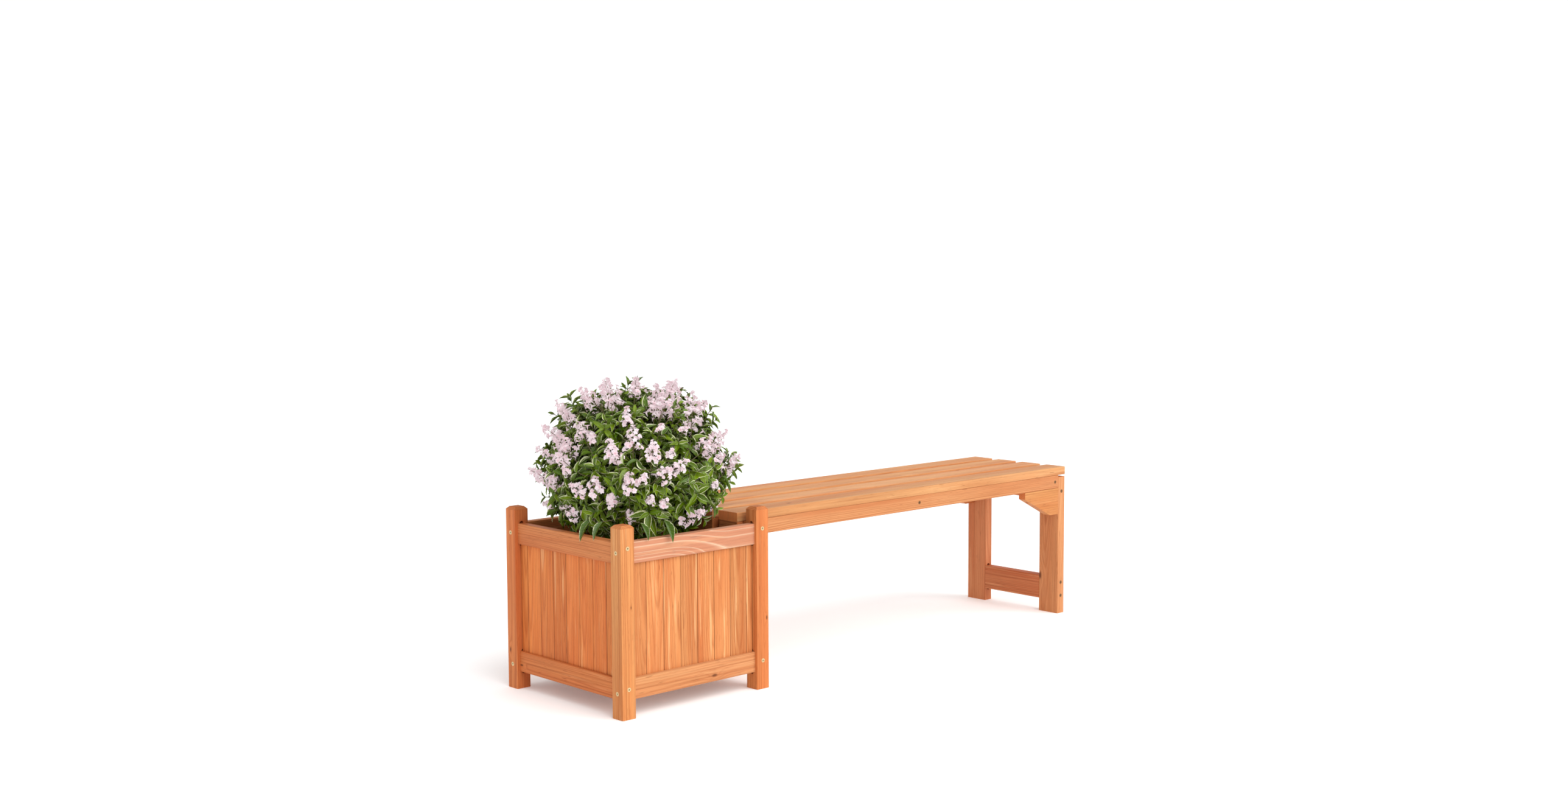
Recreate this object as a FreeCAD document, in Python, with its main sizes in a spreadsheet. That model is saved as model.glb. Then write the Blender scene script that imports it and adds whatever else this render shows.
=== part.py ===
"""Garden bench with a square planter at one end. Millimetres, +Z up.

X runs along the bench from the planter to the legs, Y from the front to the back.
Positions in the text are first counted from the planter's front left corner on the floor,
and the origin is then moved to the middle of the whole object's footprint.
"""
import FreeCAD, Part
import Sketcher
import math
import os

from FreeCAD import Rotation, Vector

SIZES = {
    # planter box
    "planter_width": 395,
    "planter_depth": 395,
    "post_side": 34,
    "post_rise": 35,
    "post_bevel": 6,
    "edge_ease": 2,
    "rail_height": 44,
    "rail_thickness": 20,
    "rail_setback": 7,
    "upper_rail_top": 355,
    "lower_rail_bottom": 37,
    # joints
    "mortise_width": 10,
    "tenon_length": 10,
    "fit_clearance": 0.2,
    # tongue and groove walls
    "board_thickness": 9,
    "board_recess": 7,
    "board_pitch": 45,
    "board_gap": 0.8,
    "board_groove_depth": 8,
    "tongue_thickness": 3,
    "tongue_length": 4,
    "first_board_front": 38,
    "first_board_side": 31,
    "wall_side_gap": 1.5,
    # planter floor
    "cleat_side": 20,
    "floor_slat_width": 52,
    "floor_slat_thickness": 10,
    # seat
    "bench_length": 1464,
    "seat_post_gap": 13.5,
    "slat_width": 60,
    "slat_thickness": 20,
    "apron_thickness": 20,
    "apron_height": 33,
    "apron_gap": 5,
    "bearer_thickness": 26,
    "bearer_screw_offset": 7,
    "block_thickness": 18,
    "block_height": 40,
    "block_gap": 1,
    # leg frame
    "leg_thickness": 26,
    "leg_width": 60,
    "leg_top_gap": 5,
    "cross_rail_height": 60,
    "lower_cross_rail_bottom": 32,
    "cross_tenon_length": 12,
    "top_shoulder": 12,
    "gusset_length": 131.5,
    "gusset_height": 66,
    "gusset_tip": 17,
    "gusset_foot": 33,
    "gusset_thickness": 20,
    # countersunk screws
    "stout_radius": 2.4,
    "stout_head": 4.4,
    "fine_radius": 2,
    "fine_head": 4,
    "head_rim": 0.4,
    "drive_width": 0.9,
    "drive_depth": 1.4,
    "access_depth": 12,
    "post_screw_length": 60,
    "upper_screw_rise": 24,
    "lower_screw_rise": 15,
    "crossing_rise": 9,
    "leg_screw_length": 90,
    "leg_screw_spread": 17,
    "leg_top_screw_drop": 37,
    "apron_screw_length": 50,
    "slat_screw_length": 45,
    "block_screw_length": 52,
    "gusset_screw_length": 45,
    "tip_screw_length": 35,
    "tip_screw_inset": 20,
    "tip_screw_sink": 6,
    "frame_screw_length": 45,
    "cleat_screw_length": 34,
    "floor_screw_length": 20,
    # planting
    "soil_drop": 55,
    "soft_clearance": 0.3,
    "stem_radius": 4,
    "stem_ring": 30,
    "crown_radius": 216,
    "crown_half_height": 193,
    "crown_core_inset": 26,
    "crown_lobe_radius": 58,
    "crown_rise": 100,
    "crown_drop": 15,
    "crown_neck_radius": 110,
    "crown_slat_gap": 3,
}
SLATS = 4
FLOOR_SLATS = 5
STEMS = 7
STEM_TILT = 16
# Rings of lobes on the crown: degrees above the level, how many, and the turn of the first
LOBE_RINGS = ((90, 1, 0), (50, 6, 30), (0, 8, 0), (-26, 8, 22.5))


class Size:
    """A length with its number and the sheet formula it comes from."""

    def __init__(self, number, formula):
        self.number = float(number)
        self.formula = formula

    @staticmethod
    def of(value):
        return value if isinstance(value, Size) else Size(value, repr(float(value)))

    def __add__(self, other):
        other = Size.of(other)
        return Size(self.number + other.number, f"({self.formula} + {other.formula})")

    def __sub__(self, other):
        other = Size.of(other)
        return Size(self.number - other.number, f"({self.formula} - {other.formula})")

    def __rsub__(self, other):
        return Size.of(other) - self

    def __mul__(self, other):
        other = Size.of(other)
        return Size(self.number * other.number, f"({self.formula} * {other.formula})")

    def __truediv__(self, other):
        other = Size.of(other)
        return Size(self.number / other.number, f"({self.formula} / {other.formula})")

    __radd__ = __add__
    __rmul__ = __mul__


doc = FreeCAD.newDocument("bench_with_planter")
sheet = doc.addObject("Spreadsheet::Sheet", "sizes")


def cell(row, alias, number):
    """Writes one named number into the sheet and returns it as a Size."""
    sheet.set(f"A{row}", alias)
    sheet.set(f"B{row}", str(number))
    sheet.setAlias(f"B{row}", alias)
    return Size(number, f"sizes.{alias}")


size = {alias: cell(row, alias, number) for row, (alias, number) in enumerate(SIZES.items(), 1)}
doc.recompute()

# Levels and lines that several pieces share
rail_middle = size["rail_setback"] + size["rail_thickness"] / 2
rail_inside = size["rail_setback"] + size["rail_thickness"]
upper_rail_bottom = size["upper_rail_top"] - size["rail_height"]
lower_rail_top = size["lower_rail_bottom"] + size["rail_height"]
post_height = size["upper_rail_top"] + size["post_rise"]
seat_front = size["post_side"] + size["seat_post_gap"]
seat_back = size["planter_depth"] - seat_front
seat_depth = seat_back - seat_front
slat_pitch = (seat_depth - size["slat_width"]) / (SLATS - 1)
slat_start = size["planter_width"] - rail_inside - size["block_gap"] - size["block_thickness"]
seat_underside = size["upper_rail_top"]
seat_top = seat_underside + size["slat_thickness"]
apron_bottom = seat_underside - size["apron_height"]
apron_start = size["planter_width"] + size["apron_gap"]
leg_start = size["bench_length"] - size["leg_thickness"]
leg_height = seat_underside - size["leg_top_gap"]
bearer_front = seat_front + size["apron_thickness"]
bearer_length = seat_depth - 2 * size["apron_thickness"]
planter_middle_x = size["planter_width"] / 2
planter_middle_y = size["planter_depth"] / 2
crown_overhang = size["crown_radius"] - planter_middle_x
origin_x = (size["bench_length"] - crown_overhang) / 2
origin_y = planter_middle_y

subparts = {}
cutters = {}


def bind(thing, prop, value):
    """Ties a property to the sheet."""
    thing.setExpression(prop, Size.of(value).formula)


def place(thing, x, y, z):
    """Puts an object at a point counted from the planter's front left corner."""
    bind(thing, "Placement.Base.x", x - origin_x)
    bind(thing, "Placement.Base.y", y - origin_y)
    bind(thing, "Placement.Base.z", z)
    return thing


def aim(thing, direction):
    """Turns an object so that its own Z points along a direction."""
    thing.Placement.Rotation = Rotation(Vector(0, 0, 1), Vector(*direction))
    return thing


def block(name, x, y, z, length, width, height):
    box = doc.addObject("Part::Box", name)
    bind(box, "Length", length)
    bind(box, "Width", width)
    bind(box, "Height", height)
    return place(box, x, y, z)


def rod(name, x, y, z, radius, length, direction):
    cylinder = doc.addObject("Part::Cylinder", name)
    bind(cylinder, "Radius", radius)
    bind(cylinder, "Height", length)
    return place(aim(cylinder, direction), x, y, z)


def group(name, members):
    compound = doc.addObject("Part::Compound", name)
    compound.Links = members
    return compound


def difference(name, base, tool):
    cut = doc.addObject("Part::Cut", name)
    cut.Base = base
    cut.Tool = tool
    return cut


def union(name, members):
    if len(members) == 1:
        return members[0]
    fuse = doc.addObject("Part::MultiFuse", name)
    fuse.Shapes = members
    return fuse


def copy_of(name, master, x, y, z, rotation):
    """The same piece again at another place."""
    link = doc.addObject("App::Link", name)
    link.LinkedObject = master
    link.Placement.Rotation = rotation
    return place(link, x, y, z)


def sketch_on(body, role, name):
    """An empty sketch on one of the body's own origin planes."""
    plane = next(f for f in body.Origin.OriginFeatures if f.Role == role)
    sketch = body.newObject("Sketcher::SketchObject", name)
    sketch.AttachmentSupport = [(plane, "")]
    sketch.MapMode = "FlatFace"
    return sketch


def pin_point(sketch, line, axis, value):
    """Holds the start of a line at a distance from the origin along one axis."""
    if value.number == 0:
        sketch.addConstraint(Sketcher.Constraint("PointOnObject", line, 1, -2 if axis == "X" else -1))
        return
    index = sketch.addConstraint(Sketcher.Constraint("Distance" + axis, -1, 1, line, 1, value.number))
    sketch.setExpression(f"Constraints[{index}]", value.formula)


def outline(sketch, points):
    """Draws a closed polygon whose corners are held by the sheet's sizes."""
    corners = [(Size.of(x), Size.of(y)) for x, y in points]
    spots = [Vector(x.number, y.number, 0) for x, y in corners]
    first = sketch.GeometryCount
    for start, end in zip(spots, spots[1:] + spots[:1]):
        sketch.addGeometry(Part.LineSegment(start, end), False)
    for i, (x, y) in enumerate(corners):
        line = first + i
        following = first + (i + 1) % len(corners)
        sketch.addConstraint(Sketcher.Constraint("Coincident", line, 2, following, 1))
        pin_point(sketch, line, "X", x)
        pin_point(sketch, line, "Y", y)


def padded_body(name, role, points, depth, reverse=False):
    """A body made by padding one outline."""
    body = doc.addObject("PartDesign::Body", name)
    sketch = sketch_on(body, role, name + "_outline")
    outline(sketch, points)
    pad = body.newObject("PartDesign::Pad", name + "_pad")
    pad.Profile = sketch
    pad.Reversed = reverse
    bind(pad, "Length", depth)
    doc.recompute()
    return body


def dress(body, kind, prop, value, wanted):
    """Adds a fillet or chamfer to the edges of the body's last feature that are wanted."""
    base = body.Tip
    names = [f"Edge{i}" for i, edge in enumerate(base.Shape.Edges, 1) if wanted(edge)]
    feature = body.newObject("PartDesign::" + kind, f"{body.Name}_{kind.lower()}")
    feature.Base = (base, names)
    bind(feature, prop, value)
    body.Tip = feature
    doc.recompute()
    return body


def runs_along(edge, direction):
    start, end = (vertex.Point for vertex in edge.Vertexes)
    return abs((end - start).normalize().dot(Vector(*direction))) > 0.999


def bar(name, x, y, z, length, width, height, along):
    """A planed length of timber with its four long edges eased."""
    corners = [(0, 0), (length, 0), (length, width), (0, width)]
    body = padded_body(name, "XY_Plane", corners, height)
    dress(body, "Fillet", "Radius", size["edge_ease"], lambda edge: runs_along(edge, along))
    return place(body, x, y, z)


def keep(label, thing):
    """Registers an object as a piece of the assembly."""
    subparts[label] = thing
    cutters.setdefault(label, [])
    return thing


# Screws


def screw_profile(radius, head, length, swell):
    """Half of a countersunk screw, with its head at the start and its point at the end."""
    neck = size["head_rim"] + head - radius
    return [
        (0, 0),
        (head + swell, 0),
        (head + swell, size["head_rim"]),
        (radius + swell, neck),
        (radius + swell, length - 2 * radius),
        (0, length + swell),
    ]


def revolved(name, points):
    body = doc.addObject("PartDesign::Body", name)
    sketch = sketch_on(body, "XZ_Plane", name + "_outline")
    outline(sketch, points)
    turn = body.newObject("PartDesign::Revolution", name + "_turn")
    turn.Profile = sketch
    turn.ReferenceAxis = (sketch, ["V_Axis"])
    turn.Angle = 360
    doc.recompute()
    return body


def cross_recess(name, head):
    """The cross that a screwdriver fits, as a pair of thin blocks at the head."""
    reach = 1.1 * head
    arms = []
    for turn, (length, width) in enumerate(((reach, size["drive_width"]), (size["drive_width"], reach))):
        arm = doc.addObject("Part::Box", f"{name}_arm_{turn}")
        bind(arm, "Length", length)
        bind(arm, "Width", width)
        bind(arm, "Height", size["drive_depth"])
        bind(arm, "Placement.Base.x", length * -0.5)
        bind(arm, "Placement.Base.y", width * -0.5)
        arms.append(arm)
    return union(name, arms)


def screw_kind(name, radius, head, length):
    """One size of screw, and the hole that it needs."""
    blank = revolved(name + "_blank", screw_profile(radius, head, length, 0))
    screw = difference(name, blank, cross_recess(name + "_cross", head))
    bore = revolved(name + "_bore", screw_profile(radius, head, length, size["fit_clearance"]))
    access = doc.addObject("Part::Cylinder", name + "_access")
    bind(access, "Radius", head + size["fit_clearance"])
    bind(access, "Height", size["access_depth"])
    bind(access, "Placement.Base.z", size["access_depth"] * -1)
    return screw, union(name + "_hole", [bore, access])


STOUT = (size["stout_radius"], size["stout_head"])
FINE = (size["fine_radius"], size["fine_head"])
kinds = {
    "post_screws": screw_kind("post_screw", *STOUT, size["post_screw_length"]),
    "leg_screws": screw_kind("leg_screw", *STOUT, size["leg_screw_length"]),
    "leg_frame_screws": screw_kind("frame_screw", *STOUT, size["frame_screw_length"]),
    "apron_screws": screw_kind("apron_screw", *FINE, size["apron_screw_length"]),
    "slat_screws": screw_kind("slat_screw", *FINE, size["slat_screw_length"]),
    "block_screws": screw_kind("block_screw", *FINE, size["block_screw_length"]),
    "gusset_screws": screw_kind("gusset_screw", *FINE, size["gusset_screw_length"]),
    "gusset_tip_screws": screw_kind("tip_screw", *FINE, size["tip_screw_length"]),
    "cleat_screws": screw_kind("cleat_screw", *FINE, size["cleat_screw_length"]),
    "floor_screws": screw_kind("floor_screw", *FINE, size["floor_screw_length"]),
}
driven = {kind: [] for kind in kinds}


def drive(kind, x, y, z, direction, *pieces):
    """Drives a screw of one kind through some pieces, from its head's place along a direction."""
    screw, hole = kinds[kind]
    number = len(driven[kind]) + 1
    turn = Rotation(Vector(0, 0, 1), Vector(*direction))
    driven[kind].append(copy_of(f"{kind}_{number}", screw, x, y, z, turn))
    for piece in pieces:
        cutters[piece].append(copy_of(f"{kind}_{number}_hole", hole, x, y, z, turn))


# Mortises


def mortise(piece, x, y, z, height, depth, direction):
    """A routed slot with round ends, cut into a piece from its face along a direction."""
    width = size["mortise_width"]
    name = f"{piece}_mortise_{len(cutters[piece])}"
    if direction[0]:
        start = x if direction[0] > 0 else x - depth
        slot = block(name, start, y - width / 2, z, depth, width, height)
    else:
        start = y if direction[1] > 0 else y - depth
        slot = block(name, x - width / 2, start, z, width, depth, height)
    ends = [rod(f"{name}_{end}", x, y, level, width / 2, depth, direction)
            for end, level in (("low", z), ("high", z + height))]
    cutters[piece] += [slot, *ends]


# Planter posts, with a mortise for each rail and a bevelled head

right_post = size["planter_width"] - size["post_side"]
back_post = size["planter_depth"] - size["post_side"]
back_rail_middle = size["planter_depth"] - rail_middle
right_rail_middle = size["planter_width"] - rail_middle
mortise_depth = size["tenon_length"] + size["fit_clearance"] * 2
rail_levels = {"upper": upper_rail_bottom, "lower": size["lower_rail_bottom"]}


def post(label, x, y):
    side = size["post_side"]
    square = [(0, 0), (side, 0), (side, side), (0, side)]
    body = padded_body(label + "_timber", "XY_Plane", square, post_height)
    top = body.Shape.BoundBox.ZMax
    dress(body, "Chamfer", "Size", size["post_bevel"],
          lambda edge: all(abs(vertex.Z - top) < 0.01 for vertex in edge.Vertexes))
    dress(body, "Fillet", "Radius", size["edge_ease"], lambda edge: runs_along(edge, (0, 0, 1)))
    keep(label, place(body, x, y, Size.of(0)))


for side, post_x, line_x, toward_x in (
    ("left", Size.of(0), rail_middle, 1),
    ("right", right_post, right_rail_middle, -1),
):
    for face, post_y, line_y, toward_y in (
        ("front", Size.of(0), rail_middle, 1),
        ("back", back_post, back_rail_middle, -1),
    ):
        label = f"post_{face}_{side}"
        post(label, post_x, post_y)
        face_x = post_x + size["post_side"] if toward_x > 0 else post_x
        face_y = post_y + size["post_side"] if toward_y > 0 else post_y
        for level in rail_levels.values():
            mortise(label, face_x, line_y, level, size["rail_height"], mortise_depth, (-toward_x, 0, 0))
            mortise(label, line_x, face_y, level, size["rail_height"], mortise_depth, (0, -toward_y, 0))

# Planter rails, each with a stub tenon at both ends and a groove for the wall boards

board_outside = size["rail_setback"] + size["board_recess"]
groove_width = size["board_thickness"] + 2 * size["fit_clearance"]
tenon_thickness = size["mortise_width"] - 2 * size["fit_clearance"]
tenon_height = size["rail_height"] - 2 * size["fit_clearance"]


def rail(label, along, outside, inward, bottom, groove_bottom):
    """A rail along X or Y between two posts. The outside face lies at a distance, and inward is +1 or -1."""
    start = size["post_side"]
    across = size["planter_width"] if along == "x" else size["planter_depth"]
    length = across - 2 * size["post_side"]
    near = outside if inward > 0 else outside - size["rail_thickness"]
    recess = size["board_recess"] - size["fit_clearance"]
    groove_near = outside + recess if inward > 0 else outside - recess - groove_width
    middle = near + size["rail_thickness"] / 2 - tenon_thickness / 2
    tenon_bottom = bottom + size["fit_clearance"]
    tenons = (start - size["tenon_length"], start + length)
    if along == "x":
        timber = bar(label + "_timber", start, near, bottom, length, size["rail_thickness"],
                     size["rail_height"], (1, 0, 0))
        ends = [block(f"{label}_tenon_{i}", x, middle, tenon_bottom, size["tenon_length"],
                      tenon_thickness, tenon_height) for i, x in enumerate(tenons)]
        groove = block(label + "_groove", start, groove_near, groove_bottom, length, groove_width,
                       size["board_groove_depth"])
    else:
        timber = bar(label + "_timber", near, start, bottom, size["rail_thickness"], length,
                     size["rail_height"], (0, 1, 0))
        ends = [block(f"{label}_tenon_{i}", middle, y, tenon_bottom, tenon_thickness,
                      size["tenon_length"], tenon_height) for i, y in enumerate(tenons)]
        groove = block(label + "_groove", groove_near, start, groove_bottom, groove_width, length,
                       size["board_groove_depth"])
    keep(label, union(label + "_tenoned", [timber, *ends]))
    cutters[label].append(groove)


walls = {
    "front": ("x", size["rail_setback"], 1),
    "back": ("x", size["planter_depth"] - size["rail_setback"], -1),
    "left": ("y", size["rail_setback"], 1),
    "right": ("y", size["planter_width"] - size["rail_setback"], -1),
}
for wall, (along, outside, inward) in walls.items():
    rail(f"{wall}_upper_rail", along, outside, inward, upper_rail_bottom, upper_rail_bottom)
    rail(f"{wall}_lower_rail", along, outside, inward, size["lower_rail_bottom"],
         lower_rail_top - size["board_groove_depth"])

# Screws through the posts into the rails' ends. Those along Y pass above those along X.

for side, face_x, line_x, toward_x in (
    ("left", Size.of(0), rail_middle, 1),
    ("right", size["planter_width"], right_rail_middle, -1),
):
    for face, face_y, line_y, toward_y in (
        ("front", Size.of(0), rail_middle, 1),
        ("back", size["planter_depth"], back_rail_middle, -1),
    ):
        for level, bottom in rail_levels.items():
            height = bottom + size[level + "_screw_rise"]
            drive("post_screws", face_x, line_y, height, (toward_x, 0, 0),
                  f"post_{face}_{side}", f"{face}_{level}_rail")
            drive("post_screws", line_x, face_y, height + size["crossing_rise"], (0, toward_y, 0),
                  f"post_{face}_{side}", f"{side}_{level}_rail")

# Tongue and groove boards between the rails. The first and last of a wall are ripped to fit.

board_bottom = lower_rail_top - size["board_groove_depth"] + size["fit_clearance"]
board_height = upper_rail_bottom + size["board_groove_depth"] - size["fit_clearance"] - board_bottom


def board(name, width, grooved, tongued):
    """A board standing at the origin, its face width along X."""
    thick = size["board_thickness"]
    middle = thick / 2
    tongue = size["tongue_thickness"] / 2
    groove = tongue + size["fit_clearance"]
    inner = size["tongue_length"] + size["fit_clearance"]
    tip = width + size["tongue_length"]
    points = [(0, 0), (width, 0)]
    if tongued:
        points += [(width, middle - tongue), (tip, middle - tongue), (tip, middle + tongue),
                   (width, middle + tongue)]
    points += [(width, thick), (0, thick)]
    if grooved:
        points += [(0, middle + groove), (inner, middle + groove), (inner, middle - groove),
                   (0, middle - groove)]
    return padded_body(name, "XY_Plane", points, board_height)


full_board = board("full_board", size["board_pitch"] - size["board_gap"], True, True)


def wall_boards(wall, along, outside, inward, ripped):
    """One wall of boards between two posts."""
    across = size["planter_width"] if along == "x" else size["planter_depth"]
    start = size["post_side"] + size["wall_side_gap"]
    end = across - start
    full = math.floor((end - start - ripped).number / SIZES["board_pitch"] - 0.2)
    edge = start + ripped
    last_start = edge + full * size["board_pitch"]
    first_board = board(f"{wall}_first_board", ripped - size["board_gap"], False, True)
    last_board = board(f"{wall}_last_board", end - last_start, True, False)
    starts = [(first_board, start)]
    starts += [(full_board, edge + i * size["board_pitch"]) for i in range(full)]
    starts += [(last_board, last_start)]
    thick = size["board_thickness"]
    near = outside + size["board_recess"] if inward > 0 else outside - size["board_recess"] - thick
    members = []
    for number, (master, position) in enumerate(starts, 1):
        name = f"{wall}_board_{number}"
        if along == "x":
            members.append(copy_of(name, master, position, near, board_bottom, Rotation()))
        else:
            quarter = Rotation(Vector(0, 0, 1), 90)
            members.append(copy_of(name, master, near + thick, position, board_bottom, quarter))
    keep(f"{wall}_wall_boards", group(f"{wall}_wall", members))


for wall, (along, outside, inward) in walls.items():
    ripped = size["first_board_front"] if along == "x" else size["first_board_side"]
    wall_boards(wall, along, outside, inward, ripped)

# Planter floor: slats across two cleats, which are screwed to the lower rails

cleat_length = size["planter_depth"] - 2 * size["post_side"]
cleat_top = size["lower_rail_bottom"] + size["cleat_side"]
right_cleat = size["planter_width"] - rail_inside - size["cleat_side"]
for side, cleat_x, face_x, toward in (
    ("left", rail_inside, rail_inside + size["cleat_side"], -1),
    ("right", right_cleat, right_cleat, 1),
):
    label = f"{side}_floor_cleat"
    keep(label, bar(label + "_timber", cleat_x, size["post_side"], size["lower_rail_bottom"],
                    size["cleat_side"], cleat_length, size["cleat_side"], (0, 1, 0)))
    for quarter in (1, 3):
        drive("cleat_screws", face_x, size["post_side"] + cleat_length * quarter / 4,
              size["lower_rail_bottom"] + size["cleat_side"] / 2, (toward, 0, 0),
              label, f"{side}_lower_rail")

floor_gap = (cleat_length - FLOOR_SLATS * size["floor_slat_width"]) / (FLOOR_SLATS + 1)
floor_length = size["planter_width"] - 2 * rail_inside - 2 * size["fit_clearance"]
floor_top = cleat_top + size["floor_slat_thickness"]
for number in range(FLOOR_SLATS):
    label = f"floor_slat_{number + 1}"
    front = size["post_side"] + floor_gap + number * (size["floor_slat_width"] + floor_gap)
    keep(label, bar(label + "_timber", rail_inside + size["fit_clearance"], front, cleat_top,
                    floor_length, size["floor_slat_width"], size["floor_slat_thickness"], (1, 0, 0)))
    for side, end in (("left", rail_inside + size["cleat_side"] / 2),
                      ("right", right_cleat + size["cleat_side"] / 2)):
        drive("floor_screws", end, front + size["floor_slat_width"] / 2, floor_top, (0, 0, -1),
              label, f"{side}_floor_cleat")

# Seat: slats over two aprons, with bearers between the aprons

apron_length = leg_start - apron_start
back_apron = seat_back - size["apron_thickness"]
for face, apron_y in (("front", seat_front), ("back", back_apron)):
    keep(f"{face}_apron", bar(f"{face}_apron_timber", apron_start, apron_y, apron_bottom, apron_length,
                              size["apron_thickness"], size["apron_height"], (1, 0, 0)))

slat_middles = []
for number in range(SLATS):
    label = f"seat_slat_{number + 1}"
    front = seat_front + number * slat_pitch
    slat_middles.append(front + size["slat_width"] / 2)
    keep(label, bar(label + "_timber", slat_start, front, seat_underside,
                    size["bench_length"] - slat_start, size["slat_width"],
                    size["slat_thickness"], (1, 0, 0)))

last_bearer = leg_start - size["bearer_thickness"]
bearers = {
    "planter_end_bearer": apron_start,
    "middle_bearer": (apron_start + last_bearer) / 2,
    "leg_end_bearer": last_bearer,
}
for label, start in bearers.items():
    middle = start + size["bearer_thickness"] / 2
    keep(label, bar(label + "_timber", start, bearer_front, apron_bottom, size["bearer_thickness"],
                    bearer_length, size["apron_height"], (0, 1, 0)))
    apron_middle = apron_bottom + size["apron_height"] / 2
    drive("apron_screws", middle, seat_front, apron_middle, (0, 1, 0), "front_apron", label)
    drive("apron_screws", middle, seat_back, apron_middle, (0, -1, 0), "back_apron", label)
    for number, slat_middle in enumerate(slat_middles, 1):
        drive("slat_screws", middle + size["bearer_screw_offset"], slat_middle, apron_bottom, (0, 0, 1),
              label, f"seat_slat_{number}")

# Blocks under the slats' ends, which hook behind the planter's right upper rail

for number, slat_middle in enumerate(slat_middles, 1):
    label = f"hook_block_{number}"
    bottom = seat_underside - size["block_height"]
    keep(label, bar(label + "_timber", slat_start, slat_middle - size["slat_width"] / 2, bottom,
                    size["block_thickness"], size["slat_width"], size["block_height"], (0, 0, 1)))
    drive("block_screws", slat_start + size["block_thickness"] / 2, slat_middle, bottom,
          (0, 0, 1), label, f"seat_slat_{number}")

# Leg frame: two legs joined by two cross rails

front_leg_inside = seat_front + size["leg_width"]
back_leg = seat_back - size["leg_width"]
leg_middle = leg_start + size["leg_thickness"] / 2
cross_length = back_leg - front_leg_inside
upper_cross_bottom = leg_height - size["cross_rail_height"]
cross_mortise_depth = size["cross_tenon_length"] + size["fit_clearance"] * 2
cross_rails = {
    "upper_cross_rail": (upper_cross_bottom, size["cross_rail_height"] - size["top_shoulder"]),
    "lower_cross_rail": (size["lower_cross_rail_bottom"], size["cross_rail_height"]),
}
lower_cross_middle = size["lower_cross_rail_bottom"] + size["cross_rail_height"] / 2
leg_screw_heights = {
    "upper_cross_rail": [leg_height - size["leg_top_screw_drop"]],
    "lower_cross_rail": [lower_cross_middle - size["leg_screw_spread"],
                         lower_cross_middle + size["leg_screw_spread"]],
}
for face, leg_y in (("front", seat_front), ("back", back_leg)):
    label = f"{face}_leg"
    keep(label, bar(label + "_timber", leg_start, leg_y, Size.of(0), size["leg_thickness"],
                    size["leg_width"], leg_height, (0, 0, 1)))
for label, (bottom, tenon) in cross_rails.items():
    timber = bar(label + "_timber", leg_start, front_leg_inside, bottom, size["leg_thickness"],
                 cross_length, size["cross_rail_height"], (0, 1, 0))
    tenons = []
    for face, start in (("front", front_leg_inside - size["cross_tenon_length"]), ("back", back_leg)):
        tenons.append(block(f"{label}_{face}_tenon", leg_middle - tenon_thickness / 2, start,
                            bottom + size["fit_clearance"], tenon_thickness,
                            size["cross_tenon_length"], tenon - 2 * size["fit_clearance"]))
    keep(label, union(label + "_tenoned", [timber, *tenons]))
    mortise("front_leg", leg_middle, front_leg_inside, bottom, tenon, cross_mortise_depth, (0, -1, 0))
    mortise("back_leg", leg_middle, back_leg, bottom, tenon, cross_mortise_depth, (0, 1, 0))
    for height in leg_screw_heights[label]:
        drive("leg_screws", leg_middle, seat_front, height, (0, 1, 0), "front_leg", label)
        drive("leg_screws", leg_middle, seat_back, height, (0, -1, 0), "back_leg", label)

# The leg frame is screwed to the last bearer through its upper cross rail. The screws
# stand a quarter of a slat's pitch outside those of the two inner slats.

frame_screw_height = (apron_bottom + leg_height) / 2
frame_screw_offset = slat_pitch / 4
for slat_middle, outward in ((slat_middles[1], -1), (slat_middles[-2], 1)):
    drive("leg_frame_screws", size["bench_length"], slat_middle + outward * frame_screw_offset,
          frame_screw_height, (-1, 0, 0), "upper_cross_rail", "leg_end_bearer")

# Gussets under the aprons, against the legs

gusset_bottom = apron_bottom - size["gusset_height"]
gusset_start = leg_start - size["gusset_length"]
gusset_shape = [
    (0, size["gusset_height"] - size["gusset_tip"]),
    (size["gusset_length"] - size["gusset_foot"], 0),
    (size["gusset_length"], 0),
    (size["gusset_length"], size["gusset_height"]),
    (0, size["gusset_height"]),
]
slope = (size["gusset_height"] - size["gusset_tip"]) / (size["gusset_length"] - size["gusset_foot"])
tip_head = size["gusset_height"] - size["gusset_tip"] - slope * size["tip_screw_inset"] + size["tip_screw_sink"]
for face, gusset_y in (("front", seat_front), ("back", seat_back - size["gusset_thickness"])):
    label = f"{face}_gusset"
    body = padded_body(label + "_timber", "XZ_Plane", gusset_shape, size["gusset_thickness"], True)
    keep(label, place(body, gusset_start, gusset_y, gusset_bottom))
    middle = gusset_y + size["gusset_thickness"] / 2
    drive("gusset_screws", size["bench_length"], middle, gusset_bottom + size["gusset_height"] / 2,
          (-1, 0, 0), f"{face}_leg", label)
    drive("gusset_tip_screws", gusset_start + size["tip_screw_inset"], middle, gusset_bottom + tip_head,
          (0, 0, 1), label, f"{face}_apron")

for kind, screws in driven.items():
    keep(kind, group(kind + "_driven", screws))

# Planting: soil over the floor slats, stems, and the crown of the shrub with its rounded lobes

soil_inset = rail_inside + size["soft_clearance"]
soil_bottom = floor_top + size["soft_clearance"]
soil_top = size["upper_rail_top"] - size["soil_drop"]
soil_height = soil_top - soil_bottom
soil = block("soil_block", soil_inset, soil_inset, soil_bottom, size["planter_width"] - 2 * soil_inset,
             size["planter_depth"] - 2 * soil_inset, soil_height)
keep("potting_soil", soil)
corner = size["post_side"] + size["soft_clearance"]
for i, x in enumerate((Size.of(0), size["planter_width"] - corner)):
    for j, y in enumerate((Size.of(0), size["planter_depth"] - corner)):
        cutters["potting_soil"].append(
            block(f"soil_corner_{i}{j}", x, y, soil_bottom, corner, corner, soil_height))

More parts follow.
